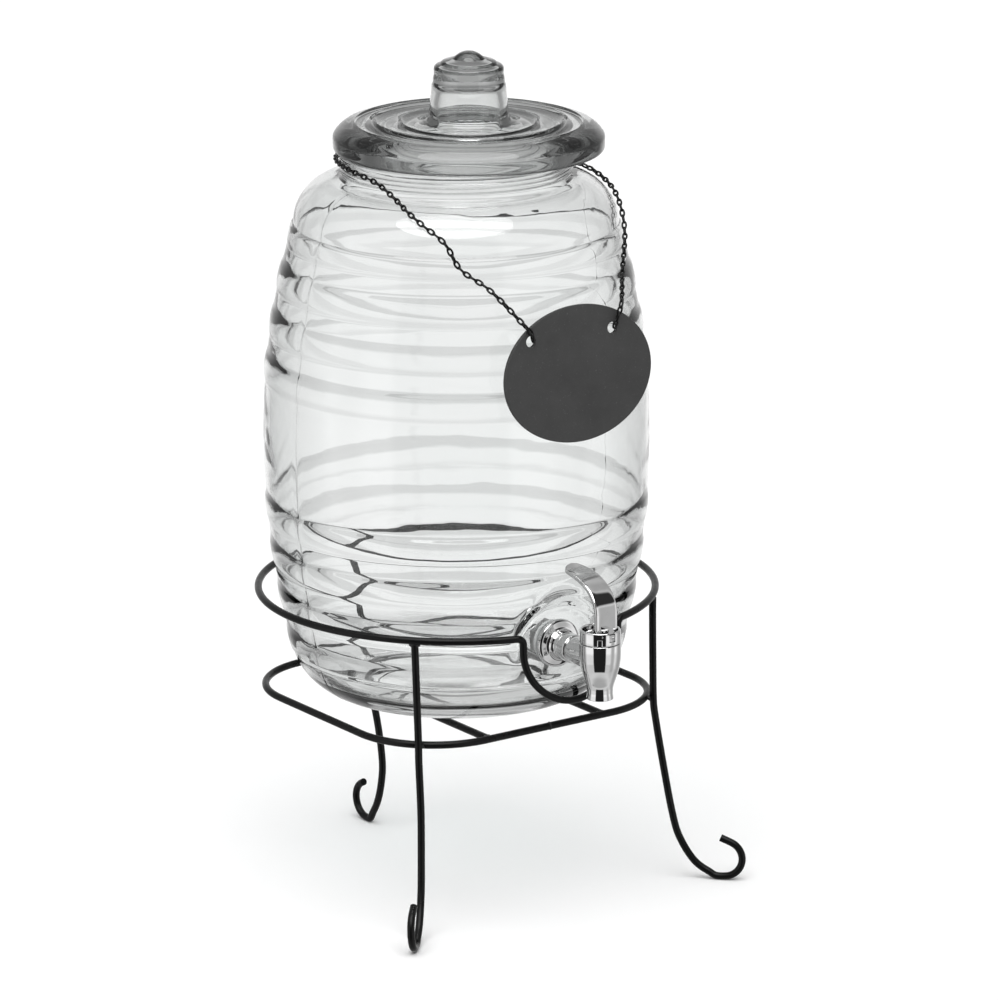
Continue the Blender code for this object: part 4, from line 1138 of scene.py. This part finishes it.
class Sky:
    """The studio as a map of directions: angle from the camera's side, and height, in degrees."""

    def __init__(self):
        world = bpy.data.worlds.new("studio")
        bpy.context.scene.world = world
        world.use_nodes = True
        self.tree = world.node_tree
        self.shade = self.tree.nodes["Background"].inputs["Color"]
        self.new = self.tree.nodes.new
        swung = self.new("ShaderNodeVectorRotate")
        swung.rotation_type = "Z_AXIS"
        swung.inputs["Angle"].default_value = radians(-CAMERA_TURN)
        self.feed(self.new("ShaderNodeTexCoord").outputs["Generated"], swung.inputs["Vector"])
        split = self.new("ShaderNodeSeparateXYZ")
        self.feed(swung.outputs["Vector"], split.inputs["Vector"])
        toward = self.math("MULTIPLY", split.outputs["Y"], -1.0)
        self.angle = self.math("MULTIPLY", self.math("ARCTAN2", split.outputs["X"], toward), 180.0 / pi)
        self.height = self.math("MULTIPLY", self.math("ARCSINE", split.outputs["Z"], 0.0), 180.0 / pi)

    def feed(self, value, socket):
        """A plain number or another node's output into a socket."""
        if isinstance(value, float):
            socket.default_value = value
        else:
            self.tree.links.new(value, socket)

    def math(self, operation, first, second):
        node = self.new("ShaderNodeMath")
        node.operation = operation
        for socket, value in zip(node.inputs, (first, second)):
            self.feed(value, socket)
        return node.outputs[0]

    def step(self, value, start, end):
        node = self.new("ShaderNodeMapRange")
        node.interpolation_type = "SMOOTHSTEP"
        node.inputs["From Min"].default_value = start
        node.inputs["From Max"].default_value = end
        self.feed(value, node.inputs["Value"])
        return node.outputs["Result"]

    def card(self, below, angles, heights, grey, soft, mask=None):
        """Lays a soft-edged card of one grey over the shade below it, where the mask allows it."""
        for value, (low, high) in ((self.angle, angles), (self.height, heights)):
            rise = self.step(value, low - soft, low + soft)
            fall = self.step(value, high + soft, high - soft)
            both = self.math("MULTIPLY", rise, fall)
            mask = both if mask is None else self.math("MULTIPLY", mask, both)
        mix = self.new("ShaderNodeMix")
        mix.data_type = "FLOAT"
        for socket, value in zip((mix.inputs[0], mix.inputs[2], mix.inputs[3]), (mask, below, grey)):
            self.feed(value, socket)
        return mix.outputs[0]


def make_world():
    """White studio with grey cards for the glass, and two black ones that only reflections see."""
    sky = Sky()
    shade = 1.0
    all_round = (-190.0, 190.0)
    for angles, heights, grey, soft in (
        (all_round, (-100.0, -46.0), 0.40, 7.0),
        (all_round, (-46.0, -27.0), 0.62, 4.0),
        (all_round, (12.0, 100.0), 0.60, 9.0),
        (all_round, (70.0, 100.0), 0.70, 8.0),
        (all_round, (-27.0, -17.7), 0.78, 1.2),
        (all_round, (-9.0, 12.0), 0.88, 2.5),
        ((104.0, 150.0), (-60.0, 64.0), 0.38, 13.0),
        ((-150.0, -104.0), (-60.0, 64.0), 0.38, 13.0),
        ((62.0, 84.0), (-40.0, 12.0), 0.45, 7.0),
        ((-118.0, -84.0), (-30.0, 56.0), 0.40, 6.0),
        ((150.0, 190.0), (26.0, 48.0), 0.38, 7.0),
        ((-190.0, -150.0), (26.0, 48.0), 0.38, 7.0),
    ):
        shade = sky.card(shade, angles, heights, grey, soft)
    mirrored = sky.new("ShaderNodeLightPath").outputs["Is Reflection Ray"]
    shade = sky.card(shade, (-38.0, 32.0), (-42.0, 46.0), 0.015, 3.0, mirrored)
    shade = sky.card(shade, (42.0, 96.0), (18.0, 64.0), 0.03, 5.0, mirrored)
    sky.feed(shade, sky.shade)


def make_camera():
    """A long lens, a little above the lid, from the left of the faucet."""
    turn, pitch = radians(CAMERA_TURN), radians(15.705)
    right = Vector((cos(turn), sin(turn), 0.0))
    away = Vector((-sin(turn), cos(turn), 0.0))
    rise = Vector((0.0, 0.0, 1.0))
    forward = away * cos(pitch) - rise * sin(pitch)
    up = away * sin(pitch) + rise * cos(pitch)
    place = at(0.0, 0.0, 0.0) + right * 0.02631 - away * 3.52829 + rise * 1.04513
    data = bpy.data.cameras.new("camera")
    data.sensor_width = 36.0
    data.lens = 217.5
    camera = add_object("camera", data)
    camera.matrix_world = Matrix.Translation(place) @ Matrix((right, up, -forward)).transposed().to_4x4()
    bpy.context.scene.camera = camera


for make in (
    make_camera, make_world, make_lights, make_floor, make_jar, make_lid, make_stand, make_faucet_body,
    make_shank_fittings, make_bonnet, make_lever, make_spring, make_sign, make_chain, paint_inner_parts,
):
    make()
bpy.context.scene.view_settings.view_transform = "Standard"
